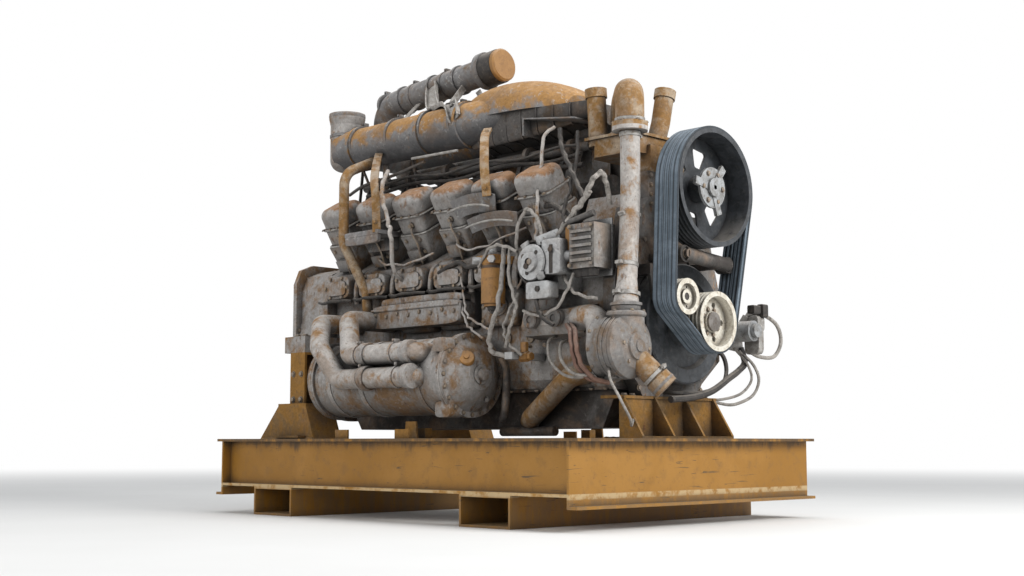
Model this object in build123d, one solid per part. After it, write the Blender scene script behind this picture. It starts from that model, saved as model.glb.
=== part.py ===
from build123d import *
import math
import os

# Industrial V12 diesel engine on its fabricated steel skid, in millimetres.
# +X runs to the pulley end, -Y is the side with the oil cooler, +Z is up.
# Each piece is moved at the end so that the origin lies under the middle of the whole.

# Skid
skid_width = 1820.0
skid_front_overhang = 225.0
skid_rear_overhang = 380.0
fork_tube_height = 149.0
fork_tube_width = 330.0
fork_tube_wall = 12.0
fork_tube_front_inset = 565.0
fork_tube_rear_inset = 525.0
side_beam_depth = 254.0
side_beam_flange = 118.0
end_beam_depth = 305.0
end_beam_flange = 60.0
beam_web = 12.0
beam_flange_thickness = 14.0
cross_beam_depth = 203.0
cross_beam_flange = 102.0

# Engine supports on the skid
support_plate = 14.0
front_support_back = 10.0
front_support_height = 200.0
front_support_half_width = 352.0
front_support_gussets = 4
front_support_reach = 125.0
front_support_shelf = 110.0
rear_support_y = 590.0
rear_support_setback = 60.0
rear_base_height = 180.0
rear_base_rear_reach = 290.0
rear_base_front_reach = 200.0
rear_base_top_half = 125.0
rear_base_width = 190.0
rear_post_length = 130.0
rear_post_width = 120.0
rear_post_web = 14.0
rear_post_drop = 70.0
rear_ear_height = 90.0
flat_gap = 0.3

# Engine axis and cylinders
crank_height = 950.0
bank_angle = 30.0
cylinders_a_side = 6
cylinder_pitch = 308.0
front_cylinder_x = 620.0
block_end_margin = 150.0
front_block_length = 250.0
front_block_rise = 630.0
front_block_half_width = 215.0
front_block_shoulder = 290.0
deck_height = 520.0
deck_width = 300.0
crankcase_half_width = 330.0
block_shoulder_rise = 230.0
valley_rise = 340.0
bank_rib_thickness = 16.0
bank_rib_reach = 26.0
pan_rail_drop = 300.0
pan_depth = 195.0
pan_half_width = 270.0

# Heads, covers and crankcase doors
head_height = 160.0
head_foot_length = 158.0
head_foot_width = 216.0
head_length = 202.0
head_width = 226.0
head_boss_length = 92.0
head_boss_height = 66.0
cover_base_height = 96.0
cover_base_length = 212.0
cover_base_width = 184.0
cover_cap_height = 118.0
cover_cap_overhang = 5.0
cover_lip = 14.0
cover_corner = 52.0
cover_dome = 46.0
door_length = 252.0
door_height = 200.0
door_thickness = 70.0
door_rise = 118.0
door_round = 24.0

# Crank line, damper and front case
shaft_radius = 60.0
shaft_clearance = 0.3
running_gap = 6.0
front_case_thickness = 75.0
front_case_half_width = 400.0
front_case_boss_radius = 92.0
front_case_boss_height = 10.0
damper_radius = 290.0
damper_thickness = 90.0
damper_gap = 12.0
damper_to_belt = 56.0
crank_nose_radius = 34.0
nose_bolt_radius = 46.0

# Belt and pulleys
belt_count = 6
belt_pitch = 22.5
belt_land = 4.0
belt_back_thickness = 9.0
belt_rib_depth = 10.0
belt_rib_tip = 9.0
belt_seam_half = 1.5
belt_seam_depth = 4.0
belt_gap = 0.3
rim_wall = 11.0
rim_rear_lip = 4.0
rim_front_lip = 2.0
groove_clearance = 2.0
groove_slack = 0.2
fan_pulley_radius = 285.0
fan_pulley_rise = 640.0
fan_spindle_radius = 38.0
fan_hub_radius = 62.0
fan_hub_length = 100.0
fan_web_thickness = 10.0
fan_web_windows = 6
fan_plate_radius = 98.0
fan_arm_reach = 136.0
fan_arm_width = 38.0
drive_pulley_radius = 142.0
drive_web_setback = 62.0
idler_radius = 84.0
idler_web_setback = 34.0
idler_pin_radius = 17.0
idler_y = -230.0
idler_rise = 102.0
pulley_web_thickness = 14.0
pulley_holes = 5

# Tower over the front case, tensioner and small front parts
tower_half_width = 150.0
tower_foot = 90.0
tower_head = 100.0
fan_boss_radius = 95.0
fan_boss_nose = 70.0
tensioner_radius = 35.0
tensioner_left = (-168.0, 312.0)
tensioner_right = (168.0, 286.0)
bracket_arm = (-270.0, 240.0)
bracket_arm_half = 25.0
bracket_plate = 16.0
sensor_radius = 52.0
sensor_length = 130.0

# Flywheel end, to the size 00 housing standard
housing_flange_radius = 441.5
housing_pilot_radius = 393.7
housing_bolt_circle = 850.9
housing_bolts = 16
housing_bolt_hole = 13.5
housing_depth = 270.0
housing_flange_thickness = 30.0
housing_adapter_thickness = 60.0
housing_wall = 28.0
housing_step = 40.0
gear_case_rise = 470.0
gear_case_corner = 120.0
flywheel_recess = 16.0
flywheel_thickness = 62.0
flywheel_radius = 380.0

# Air and exhaust
manifold_radius = 92.0
branch_radius = 44.0
duct_radius = 118.0
duct_y = 250.0
duct_above_covers = 310.0
duct_band = 22.0
cup_behind_block = 30.0
cup_rim_rise = 225.0
cup_rim_radius = 106.0
cup_neck_radius = 97.0
cup_foot_round = 70.0
charge_box_setback = 285.0
charge_box_length = 775.0
charge_box_half_width = 258.0
charge_box_depth = 190.0
plenum_length = 725.0
plenum_rise = 208.0
plenum_half_width = 296.0
charge_box_ribs = 7
charge_box_rib = 8.0
shelf_length = 360.0
shelf_thickness = 8.0
shelf_lip = 92.0
shelf_slope = 50.0
exhaust_pipe_radius = 76.0
exhaust_pipe_rise = 368.0
exhaust_pipe_length = 875.0
exhaust_pipe_fall = 68.0
exhaust_elbow_radius = 125.0
exhaust_flange_radius = 104.0
exhaust_cap_radius = 92.0
exhaust_cap_length = 130.0
pedestal_radius = 18.0

# Coolant circuit at the front
coolant_pipe_radius = 47.0
coolant_pipe_x = 1150.0
coolant_pipe_y = -350.0
coolant_pipe_lean = 42.0
coolant_joint_drop = 18.0
coolant_taper = 330.0
top_elbow_radius = 69.0
top_elbow_rise = 165.0
top_elbow_foot = (912.0, -106.0)
thermostat_above_fan = 290.0
thermostat_size = (285.0, 470.0, 88.0)
thermostat_plate = 14.0
thermostat_middle_x = 930.0
stub_radius = 48.0
pump_rise = -130.0
pump_y = -445.0
pump_radius = 148.0
pump_flange_radius = 165.0
pump_depth = 160.0
pump_collar = 84.0
pump_outlet_radius = 56.0
pump_outlet_run = Vector(143.0, 108.0, -180.0)
side_casting_setback = 480.0
side_casting_depth = 130.0
side_casting_height = 156.0
side_casting_rise = 15.0
side_elbow_radius = 60.0
side_elbow_y = -466.0

# Oil cooler and its pipes
cooler_radius = 210.0
cooler_y = -560.0
cooler_rise = -235.0
cooler_front_x = 300.0
cooler_length = 1060.0
cooler_dome = 60.0
cooler_flange = 44.0
cooler_shell_step = 15.0
cooler_pipe_radius = 52.0
cooler_pipe_gap = 4.0
upper_pipe_rise = 112.0
upper_pipe_entry = 185.0
lower_pipe_rise = -8.0
sump_pipe_radius = 50.0

# Fuel and control parts on the near side
filter_radius = 60.0
filter_length = 195.0
filter_x = 385.0
filter_y = -500.0
filter_top_rise = 312.0
fuel_pump_radius = 104.0
fuel_pump_x = 727.0
fuel_pump_rise = 286.0
fuel_pump_front = -552.0
control_box_rise = 240.0
control_box_height = 210.0
control_box_length = 155.0
control_box_back = -386.0
control_box_depth = 150.0
control_fins = 5
drain_radius = 28.0
drain_y = -532.0
drain_lean = 121.0
drain_rise = 125.0

# Worked out from the sizes above
cos_bank = math.cos(math.radians(bank_angle))
sin_bank = math.sin(math.radians(bank_angle))
deck_top = fork_tube_height + side_beam_depth
rear_cylinder_x = front_cylinder_x - (cylinders_a_side - 1) * cylinder_pitch
deck_front_x = front_cylinder_x + block_end_margin
block_front_x = deck_front_x + front_block_length
block_rear_x = rear_cylinder_x - block_end_margin
front_face_x = block_front_x + front_case_thickness
damper_rear_x = front_face_x + damper_gap
damper_front_x = damper_rear_x + damper_thickness
belt_rear_x = damper_front_x + damper_to_belt
belt_width = belt_count * belt_pitch
belt_front_x = belt_rear_x + belt_width
rim_rear_x = belt_rear_x - rim_rear_lip
rim_front_x = belt_front_x + rim_front_lip
groove_depth = belt_rib_depth + groove_clearance
fan_pulley_height = crank_height + fan_pulley_rise
idler_height = crank_height + idler_rise
drive_web_x = belt_front_x - drive_web_setback
fan_web_x = rim_rear_x + 4.0
fan_hub_x = fan_web_x + fan_hub_length
idler_web_x = belt_front_x - idler_web_setback
tower_bottom = fan_pulley_height - tower_foot
tower_top = fan_pulley_height + tower_head
housing_rear_x = block_rear_x - housing_depth
adapter_x = block_rear_x - housing_adapter_thickness
gear_case_top = crank_height + gear_case_rise
front_support_x = front_face_x - front_support_back
rear_support_x = block_rear_x + rear_support_setback
rear_post_top = crank_height - rear_post_drop
skid_front_x = front_support_x + skid_front_overhang
skid_rear_x = rear_support_x - skid_rear_overhang
skid_middle_x = (skid_front_x + skid_rear_x) / 2
overall_middle_x = (skid_rear_x + rim_front_x) / 2
pan_rail = crank_height - pan_rail_drop
cover_height = head_height + cover_base_height + cover_cap_height
cover_top = crank_height + (deck_height + cover_height) * cos_bank + cover_base_width / 2 * sin_bank
duct_height = cover_top + duct_above_covers
charge_box_top = duct_height + 15.0
charge_box_front_x = block_front_x - charge_box_setback
charge_box_rear_x = charge_box_front_x - charge_box_length
cup_x = block_rear_x - cup_behind_block
cup_rim_height = duct_height + cup_rim_rise
exhaust_pipe_height = duct_height + exhaust_pipe_rise
exhaust_rear_x = cup_x + 60.0
exhaust_front_x = exhaust_rear_x + exhaust_pipe_length
thermostat_top = fan_pulley_height + thermostat_above_fan
coolant_joint_height = thermostat_top - coolant_joint_drop
pump_height = crank_height + pump_rise
cooler_height = crank_height + cooler_rise
cooler_rear_x = cooler_front_x - cooler_length


def solid_box(x, y, z):
    """A box between three (low, high) pairs."""
    middle = Pos((x[0] + x[1]) / 2, (y[0] + y[1]) / 2, (z[0] + z[1]) / 2)
    return middle * Box(x[1] - x[0], y[1] - y[0], z[1] - z[0])


def rod(start, end, radius):
    """A round bar between two points."""
    start, end = Vector(*start), Vector(*end)
    run = end - start
    low = (Align.CENTER, Align.CENTER, Align.MIN)
    return Plane(origin=start, z_dir=run) * Cylinder(radius, run.length, align=low)


def turned(points, y, z):
    """A profile of (x, radius) points turned about the line through y, z along X."""
    profile = make_face(Polyline(*[(x, r, 0) for x, r in points], close=True))
    return Pos(0, y, z) * revolve(profile, Axis.X)


def bent_tube(points, bend_radii, radius):
    """A round bar along straight runs joined by tangent arcs."""
    path = FilletPolyline(*points, radius=bend_radii)
    return sweep(Plane(origin=path @ 0, z_dir=path % 0) * Circle(radius), path=path)


def yz_prism(points, x):
    """A polygon of (y, z) points carried along X between a low and a high value."""
    face = make_face(Polyline(*[(x[0], y, z) for y, z in points], close=True))
    return extrude(face, amount=x[1] - x[0], dir=(1, 0, 0))


def xz_prism(points, y):
    """A polygon of (x, z) points carried along Y between a low and a high value."""
    face = make_face(Polyline(*[(x, y[0], z) for x, z in points], close=True))
    return extrude(face, amount=y[1] - y[0], dir=(0, 1, 0))


def bank_frame(side, x, height):
    """A plane square to one bank's cylinder axis, at a distance from the crank."""
    out = side * sin_bank
    origin = (x, out * height, crank_height + cos_bank * height)
    return Plane(origin=origin, x_dir=(1, 0, 0), z_dir=(0, out, cos_bank))


def bank_point(side, height, offset):
    """The (y, z) of a point on a bank: distance from the crank, offset outwards."""
    y = side * (sin_bank * height + cos_bank * offset)
    return y, crank_height + cos_bank * height - sin_bank * offset


def cylinder_places():
    return [front_cylinder_x - i * cylinder_pitch for i in range(cylinders_a_side)]


# Skid pieces

def i_beam(length, depth, flange):
    """An I section standing on Z = 0 and centred on X = 0, its length along Y."""
    t, w = beam_flange_thickness, beam_web
    half = flange / 2
    outline = [(-half, 0), (half, 0), (half, t), (w / 2, t), (w / 2, depth - t),
               (half, depth - t), (half, depth), (-half, depth), (-half, depth - t),
               (-w / 2, depth - t), (-w / 2, t), (-half, t)]
    return xz_prism(outline, (-length / 2, length / 2))


def side_beam(side):
    length = skid_front_x - skid_rear_x - 2 * end_beam_flange
    beam = Rot(0, 0, 90) * i_beam(length, side_beam_depth, side_beam_flange)
    return Pos(skid_middle_x, side * (skid_width - side_beam_flange) / 2, fork_tube_height) * beam


def end_beam(outer_x, inward):
    """A channel across the skid, its web inwards and its flanges outwards."""
    low = deck_top - end_beam_depth
    tip, root = outer_x, outer_x + inward * end_beam_flange
    web_face = root - inward * beam_web
    t = beam_flange_thickness
    outline = [(tip, low), (root, low), (root, deck_top), (tip, deck_top),
               (tip, deck_top - t), (web_face, deck_top - t),
               (web_face, low + t), (tip, low + t)]
    return xz_prism(outline, (-skid_width / 2, skid_width / 2))


def cross_beams():
    """Three I beams between the side beams: under each support and half way."""
    span = skid_width - 2 * side_beam_flange
    beam = i_beam(span, cross_beam_depth, cross_beam_flange)
    front = front_support_x - cross_beam_flange / 2
    places = [rear_support_x, (rear_support_x + front) / 2, front]
    return [Pos(x, 0, deck_top - cross_beam_depth) * beam for x in places]


def fork_tube(x):
    half, wall = fork_tube_width / 2, fork_tube_wall
    wide = skid_width / 2
    outer = solid_box((x - half, x + half), (-wide, wide), (0, fork_tube_height))
    hollow = solid_box((x - half + wall, x + half - wall), (-wide - 1, wide + 1),
                       (wall, fork_tube_height - wall))
    return outer - hollow


# Engine supports

def front_support():
    """An upright plate with a shelf, a foot plate and sloping gussets."""
    top = deck_top + front_support_height
    plate, half, x = support_plate, front_support_half_width, front_support_x
    reach = front_support_reach
    wide = (-half, half)
    body = solid_box((x - plate, x), wide, (deck_top, top))
    body += solid_box((x - front_support_shelf, x + 8), (-half - 20, half + 20), (top - plate, top))
    body += solid_box((x - plate, x + reach), wide, (deck_top, deck_top + 10))
    for i in range(front_support_gussets):
        y = -half + i * (2 * half - plate) / (front_support_gussets - 1)
        outline = [(x, deck_top), (x + reach, deck_top), (x + reach, deck_top + 12), (x + 8, top),
                   (x, top)]
        body += xz_prism(outline, (y, y + plate))
    return body


def rear_support(side):
    """A trapezoid base with ribs and an H post up to the housing's ear."""
    x, y, half = rear_support_x, side * rear_support_y, rear_base_width / 2
    base_top = deck_top + rear_base_height
    rear, front = x - rear_base_rear_reach, x + rear_base_front_reach
    outline = [(rear, deck_top), (front, deck_top), (x + rear_base_top_half, base_top),
               (x - rear_base_top_half, base_top)]
    body = xz_prism(outline, (y - half + support_plate, y + half - support_plate))
    for edge in (y - half, y + half - support_plate):
        body += xz_prism(outline, (edge, edge + support_plate))
    body += solid_box((x - rear_base_top_half, x + rear_base_top_half), (y - half, y + half),
                      (base_top, base_top + support_plate))
    post_half, tall = rear_post_width / 2, (base_top, rear_post_top)
    long = (x - rear_post_length / 2, x + rear_post_length / 2)
    for edge in (y - post_half, y + post_half - rear_post_web):
        body += solid_box(long, (edge, edge + rear_post_web), tall)
    body += solid_box((x - rear_post_web / 2, x + rear_post_web / 2), (y - post_half, y + post_half),
                      tall)
    return body + solid_box(long, (y - post_half, y + post_half),
                            (rear_post_top - support_plate, rear_post_top))


# Block, pan and housings

def engine_block():
    """The V casting: crankcase, two banks with their decks and ribs, and the valley."""
    deck_out = bank_point(1, deck_height, deck_width / 2)
    deck_in = bank_point(1, deck_height, -deck_width / 2)
    shoulder = crank_height + block_shoulder_rise
    half = crankcase_half_width
    right = [(half - 20, pan_rail), (half, pan_rail + 40), (half, shoulder),
             (deck_out[0] + 12, deck_out[1] - 50), deck_out, deck_in,
             (70, crank_height + valley_rise)]
    left = [(-y, z) for y, z in reversed(right)]
    body = yz_prism(right + left, (block_rear_x, deck_front_x))
    top = crank_height + front_block_rise
    right = right[:3] + [(front_block_shoulder, (shoulder + top) / 2), (front_block_half_width, top)]
    left = [(-y, z) for y, z in reversed(right)]
    body += yz_prism(right + left, (deck_front_x, block_front_x))
    rib = [(half - 5, shoulder - 60), (half + bank_rib_reach, shoulder),
           (deck_out[0] + bank_rib_reach, deck_out[1] - 58), (deck_out[0] - 5, deck_out[1] - 20)]
    for i in range(cylinders_a_side - 1):
        x = front_cylinder_x - (i + 0.5) * cylinder_pitch
        wide = (x - bank_rib_thickness / 2, x + bank_rib_thickness / 2)
        for side in (-1, 1):
            body += yz_prism([(side * y, z) for y, z in rib], wide)
    return body - rod((block_rear_x - 1, 0, crank_height), (block_front_x + 1, 0, crank_height),
                      shaft_radius + shaft_clearance)


def oil_pan():
    """A sloped sump with a flange under the block's rail."""
    low, lip = pan_rail - pan_depth, pan_rail - 16
    half = crankcase_half_width - 20
    flange = solid_box((block_rear_x, block_front_x), (-half, half), (lip, pan_rail))
    outline = [(block_rear_x + 40, lip), (block_front_x - 30, lip), (block_front_x - 120, low),
               (block_rear_x + 160, low)]
    return flange + xz_prism(outline, (-pan_half_width, pan_half_width))


def front_housing():
    """The front gear case: a wide plate with a foot on the front support and four bosses."""
    half = front_case_half_width
    foot, foot_top = deck_top + front_support_height, pan_rail + 20
    outline = [(-210, foot), (210, foot), (250, foot_top), (half, foot_top + 120),
               (half, crank_height + 200), (300, tower_bottom), (-300, tower_bottom),
               (-half, crank_height + 200), (-half, foot_top + 120), (-250, foot_top)]
    body = yz_prism(outline, (block_front_x, front_face_x))
    reach = damper_radius + front_case_boss_radius + running_gap
    for angle in (20, 52, 128, 160):
        y = reach * math.cos(math.radians(angle))
        z = crank_height + reach * math.sin(math.radians(angle))
        if abs(y) + front_case_boss_radius > half:
            y = math.copysign(half - front_case_boss_radius, y)
        body += rod((front_face_x - 1, y, z), (front_face_x + front_case_boss_height, y, z),
                    front_case_boss_radius)
    return body - rod((block_front_x - 1, 0, crank_height),
                      (front_face_x + front_case_boss_height + 1, 0, crank_height),
                      shaft_radius + shaft_clearance)


def gear_case_outline(inset):
    """The rear case's shoulders above the crank line, as (y, z) points."""
    side, top, corner = housing_flange_radius - inset, gear_case_top - inset, gear_case_corner
    right = [(side, crank_height), (side, top - corner), (side - corner * 0.29, top - corner * 0.29),
             (side - corner, top)]
    return right + [(-y, z) for y, z in reversed(right)]


def flywheel_housing():
    """The rear gear case and bell in one, with the size 00 flange and ears on the posts."""
    rear, front = housing_rear_x, block_rear_x
    face = rear + housing_flange_thickness
    radius, step = housing_flange_radius, housing_step
    body = turned([(rear, 0), (rear, radius), (face, radius), (face, radius - step / 2),
                   (adapter_x, radius - step), (front, radius - step), (front, 0)],
                  0, crank_height)
    body += yz_prism(gear_case_outline(0), (rear, face))
    body += yz_prism(gear_case_outline(step), (face, front))
    for side in (-1, 1):
        y = sorted((side * (crankcase_half_width + flat_gap),
                    side * (rear_support_y + rear_post_width / 2)))
        body += solid_box((adapter_x, rear_support_x + rear_post_length / 2), y,
                          (rear_post_top, rear_post_top + rear_ear_height))
    back = adapter_x - housing_wall
    body -= turned([(rear - 1, 0), (rear - 1, housing_pilot_radius), (face, housing_pilot_radius),
                    (back, radius - step - housing_wall), (back + step, 0)], 0, crank_height)
    body -= rod((back - step, 0, crank_height), (front + 1, 0, crank_height),
                shaft_radius + shaft_clearance)
    for i in range(housing_bolts):
        angle = math.radians((i + 0.5) * 360 / housing_bolts)
        y = housing_bolt_circle / 2 * math.cos(angle)
        z = crank_height + housing_bolt_circle / 2 * math.sin(angle)
        body -= rod((rear - 1, y, z), (face + 1, y, z), housing_bolt_hole / 2)
    return body


# Banks

def tapered_block(low, high, height, round_low, round_high):
    """A block that widens from a low (length, width) to a high one, with rounded corners."""
    return loft([RectangleRounded(*low, round_low), Pos(0, 0, height) * RectangleRounded(*high,
                 round_high)])


def heads(side):
    """One head a cylinder, wider at the top, with a boss low on its outer face."""
    foot, top = (head_foot_length, head_foot_width), (head_length, head_width)
    head = tapered_block(foot, top, head_height, 16, 20)
    outer = side * head_foot_width / 2
    y = sorted((outer - side * 30, outer + side * 36))
    head += solid_box((-head_boss_length / 2, head_boss_length / 2), y, (20, 20 + head_boss_height))
    return [bank_frame(side, x, deck_height) * head for x in cylinder_places()]


def cover_shape():
    """A cover in two tiers: a base that widens upwards, a lip, and a cap with a rounded top."""
    base = tapered_block((head_length - 18, head_width - 30), (cover_base_length, cover_base_width),
                         cover_base_height, 28, 34)
    over = cover_cap_overhang
    cap_length, cap_width = cover_base_length + 2 * over, cover_base_width + 2 * over
    lip = extrude(RectangleRounded(cap_length + over, cap_width + over, 40), cover_lip)
    cap = extrude(RectangleRounded(cap_length - over, cap_width - over, cover_corner),
                  cover_cap_height)
    cap = fillet(cap.faces().sort_by(Axis.Z)[-1].edges(), cover_dome)
    return base + Pos(0, 0, cover_base_height - 1) * (lip + cap)


def valve_covers(side):
    shape = cover_shape()
    height = deck_height + head_height
    return [bank_frame(side, x, height) * shape for x in cylinder_places()]


def crankcase_doors():
    """A rounded box cover on the crankcase side at each cylinder that has room for one."""
    z = crank_height + door_rise
    parts = []
    for side, places in ((-1, cylinder_places()[1:-2]), (1, cylinder_places()[:-1])):
        for x in places:
            door = Box(door_length, door_thickness, door_height)
            outer = door.faces().sort_by(Axis.Y)[0 if side < 0 else -1]
            door = fillet(door.edges().filter_by(Axis.Y) + outer.edges(), door_round)
            y = side * (crankcase_half_width + door_thickness / 2)
            parts.append(Pos(x, y, z) * door)
    return parts


# Air, exhaust and coolant

def exhaust_log_height():
    """The height at which lines square to both banks' inner faces meet over the crank."""
    y, z = bank_point(1, deck_height + head_height / 2, -head_width / 2)
    return z + y * math.tan(math.radians(bank_angle))


def exhaust_manifold():
    """A log in the valley with a flanged branch square to each head's inner face."""
    height = exhaust_log_height()
    body = rod((block_rear_x + 20, 0, height), (deck_front_x - 20, 0, height), manifold_radius)
    inner = head_width / 2 - 18
    for x in cylinder_places():
        for side in (-1, 1):
            y, z = bank_point(1, deck_height + head_height / 2, -inner)
            back = (x, side * (y - 34 * cos_bank), z + 34 * sin_bank)
            body += rod((x, side * y, z), (x, 0, height), branch_radius)
            body += rod((x, side * y, z), back, branch_radius + 18)
    return body


def air_duct(side):
    """The long duct beside the valley, from the cup to where it leans into the plenum."""
    y, rear, front = side * duct_y, cup_x, charge_box_rear_x
    body = rod((rear, y, duct_height), (front, y, duct_height), duct_radius)
    for x in (rear + 140, front - 330, front - duct_band):
        body += rod((x, y, duct_height), (x + duct_band, y, duct_height), duct_radius + 12)
    ends = ((0, 0, 0, 1.0), (160, 42, 22, 0.84), (340, 112, 58, 0.48))
    rings = [Plane(origin=(front + along, side * (duct_y - inwards), duct_height + up),
                   z_dir=(1, 0, 0)) * Circle(duct_radius * share)
             for along, inwards, up, share in ends]
    return body + loft(rings)


def inlet_cup(side):
    """A blanked inlet neck with a rolled rim, standing at the duct's rear end."""
    low, rim = duct_height - duct_radius, cup_rim_height
    neck, foot = cup_neck_radius, cup_foot_round
    points = [(neck, low + foot), (neck, rim - 70), (cup_rim_radius, rim - 30), (cup_rim_radius, rim),
              (cup_rim_radius - 12, rim), (cup_rim_radius - 18, rim - 20), (0, rim - 20), (0, low),
              (neck - foot, low)]
    wall = Polyline(*[(r, 0, z) for r, z in points])
    turn = math.sqrt(0.5) * foot
    bend = ThreePointArc((neck - foot, 0, low), (neck - foot + turn, 0, low + foot - turn),
                         (neck, 0, low + foot))
    profile = make_face(wall.edges() + bend.edges())
    return Pos(cup_x, side * duct_y, 0) * revolve(profile, Axis.Z)


def rear_crossover():
    """The short tube between the two ducts that carries the exhaust pipe's elbow."""
    x = exhaust_rear_x
    return rod((x, -duct_y, duct_height), (x, duct_y, duct_height), exhaust_pipe_radius + 14)


def exhaust_point(along):
    """A point on the pipe's axis, at a distance back from its front end, as it falls to the rear."""
    return (exhaust_front_x - along, 0, exhaust_pipe_height
            - exhaust_pipe_fall * along / exhaust_pipe_length)


def exhaust_pipe():
    """The pipe along the top with its rear elbow, band joints and front flange."""
    path = [exhaust_point(0), exhaust_point(exhaust_pipe_length), (exhaust_rear_x, 0, duct_height)]
    body = bent_tube(path, exhaust_elbow_radius, exhaust_pipe_radius)
    for share in (0.26, 0.5, 0.8):
        back = share * exhaust_pipe_length
        body += rod(exhaust_point(back), exhaust_point(back - 18), exhaust_pipe_radius + 9)
    return body + rod(exhaust_point(34), exhaust_point(0), exhaust_flange_radius)


def exhaust_cap():
    """The barrel of the moulded cap over the flange, with a bevelled rim."""
    r, length = exhaust_cap_radius, exhaust_cap_length
    barrel = rod(exhaust_point(0), exhaust_point(-length), r)
    face = barrel.faces().sort_by(Axis.X)[-1]
    return chamfer(face.edges(), 10)


def half_round(x, half_width, depth):
    """A section with a flat top at one station and a rounded belly of a given depth."""
    top, across = charge_box_top, 0.74
    belly = Spline((x, half_width, top), (x, half_width * across, top - depth * 0.74),
                   (x, 0, top - depth), (x, -half_width * across, top - depth * 0.74),
                   (x, -half_width, top), tangents=[(0, 0, -1), (0, 0, 1)])
    return make_face([belly, Line((x, -half_width, top), (x, half_width, top))])


def charge_air_box():
    """The ribbed trough under the plenum, shallower and narrower at its front end."""
    rear, length = charge_box_rear_x, charge_box_length
    stations = ((0.0, 1.0, 1.0), (0.5, 0.97, 0.94), (1.0, 0.68, 0.55))
    body = loft([half_round(rear + along * length, wide * charge_box_half_width,
                            deep * charge_box_depth) for along, wide, deep in stations])
    for i in range(charge_box_ribs):
        share = (i + 0.6) / (charge_box_ribs + 0.6)
        wide, deep = 1.0 - 0.32 * share ** 2.6, 1.0 - 0.45 * share ** 2.6
        face = half_round(rear + share * length, wide * charge_box_half_width + 9,
                          deep * charge_box_depth + 9)
        body += extrude(face, amount=charge_box_rib, dir=(1, 0, 0))
    return body


def plenum_section(x, half_width, rise):
    """A flat-bottomed rounded section across the plenum at one station."""
    foot = charge_box_top
    arch = Spline((x, half_width, foot), (x, half_width * 0.78, foot + rise * 0.72),
                  (x, 0, foot + rise), (x, -half_width * 0.78, foot + rise * 0.72),
                  (x, -half_width, foot))
    return make_face([arch, Line((x, -half_width, foot), (x, half_width, foot))])


def air_plenum():
    """The long humped cover on the charge air box, tapering to the front."""
    rear = charge_box_rear_x - 110
    stations = ((0, 0.80, 0.72), (0.20, 0.98, 0.95), (0.48, 1.0, 1.0), (0.76, 0.88, 0.82),
                (1.0, 0.55, 0.34))
    sections = [plenum_section(rear + a * plenum_length, b * plenum_half_width, c * plenum_rise)
                for a, b, c in stations]
    return loft(sections)


def plenum_bracket(side):
    """A sloping folded plate beside the front half of the trough."""
    front, high = charge_box_front_x + 14, charge_box_top - 57
    rear, t, low = front - shelf_length, shelf_thickness, charge_box_top - 57 - shelf_slope
    outline = [(rear, high - shelf_lip), (rear + t, high - shelf_lip), (rear + t, high - t),
               (front, low - t), (front, low), (rear, high)]
    return xz_prism(outline, sorted((side * 120, side * plenum_half_width)))


def pedestals():
    """Columns from the exhaust log to the charge air box, and rear posts to the ducts."""
    parts = []
    for x in (charge_box_rear_x + 120, charge_box_front_x - 130):
        parts.append(solid_box((x - 60, x + 60), (-70, 70), (exhaust_log_height(),
                                                             charge_box_top - 30)))
    foot = crank_height + deck_height * cos_bank
    for side in (-1, 1):
        x, y = rear_cylinder_x + cylinder_pitch / 2, side * (duct_y - 20)
        parts.append(rod((x, y, foot), (x, y, duct_height), pedestal_radius))
    return parts


def thermostat_housing():
    """The casting over the fan tower, with a wide bolted top plate."""
    length, width, height = thermostat_size
    plate_low = thermostat_top - thermostat_plate
    half = tower_half_width - 20
    neck = solid_box((block_front_x - 10, front_face_x), (-half, half),
                     (tower_top, plate_low - height / 2))
    body = Box(length, width, height)
    body = chamfer(body.edges().filter_by(Axis.Z), 40)
    body = Pos(thermostat_middle_x, 0, plate_low - height / 2) * body
    plate = solid_box((thermostat_middle_x - length / 2 - 12, thermostat_middle_x + length / 2 + 12),
                      (-width / 2 - 17, width / 2 + 17), (plate_low, thermostat_top))
    return neck + body + plate


def outlet_stub(y, foot_x, foot_lean, top_x, top_y, rise):
    """One capped outlet that rises from the casting, kinked part of the way up."""
    low = thermostat_top - 40
    bend = (foot_x - foot_lean, (y + top_y) / 2, low + rise * 0.52)
    top = (top_x, top_y, thermostat_top + rise)
    body = bent_tube([(foot_x, y, low), bend, top], stub_radius * 1.6, stub_radius)
    end, start = Vector(*top), Vector(*bend)
    run = (end - start).normalized()
    return body + rod(tuple(end - run * 46), top, stub_radius + 7)


def outlet_stubs():
    """Two capped outlets on the top plate, one upright and one leaning outwards."""
    rear, front = thermostat_middle_x - 120, thermostat_middle_x + 20
    return [outlet_stub(-186.0, rear, 0.0, rear - 8, -196.0, 252.0),
            outlet_stub(76.0, front, -14.0, front + 18, 150.0, 276.0)]


def top_elbow():
    """The high bend from the thermostat housing over to the coolant pipe."""
    x, y = coolant_pipe_x, coolant_pipe_y
    foot_x, foot_y = top_elbow_foot
    low, high = thermostat_top, thermostat_top + top_elbow_rise
    path = [(foot_x, foot_y, low), (foot_x, foot_y, high), (x, y, high),
            (x, y, coolant_joint_height)]
    body = bent_tube(path, [80, 80], top_elbow_radius)
    body += rod((foot_x, foot_y, low), (foot_x, foot_y, low + 20), top_elbow_radius + 10)
    return body + rod((x, y, coolant_joint_height), (x, y, coolant_joint_height + 22),
                      top_elbow_radius + 16)


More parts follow.
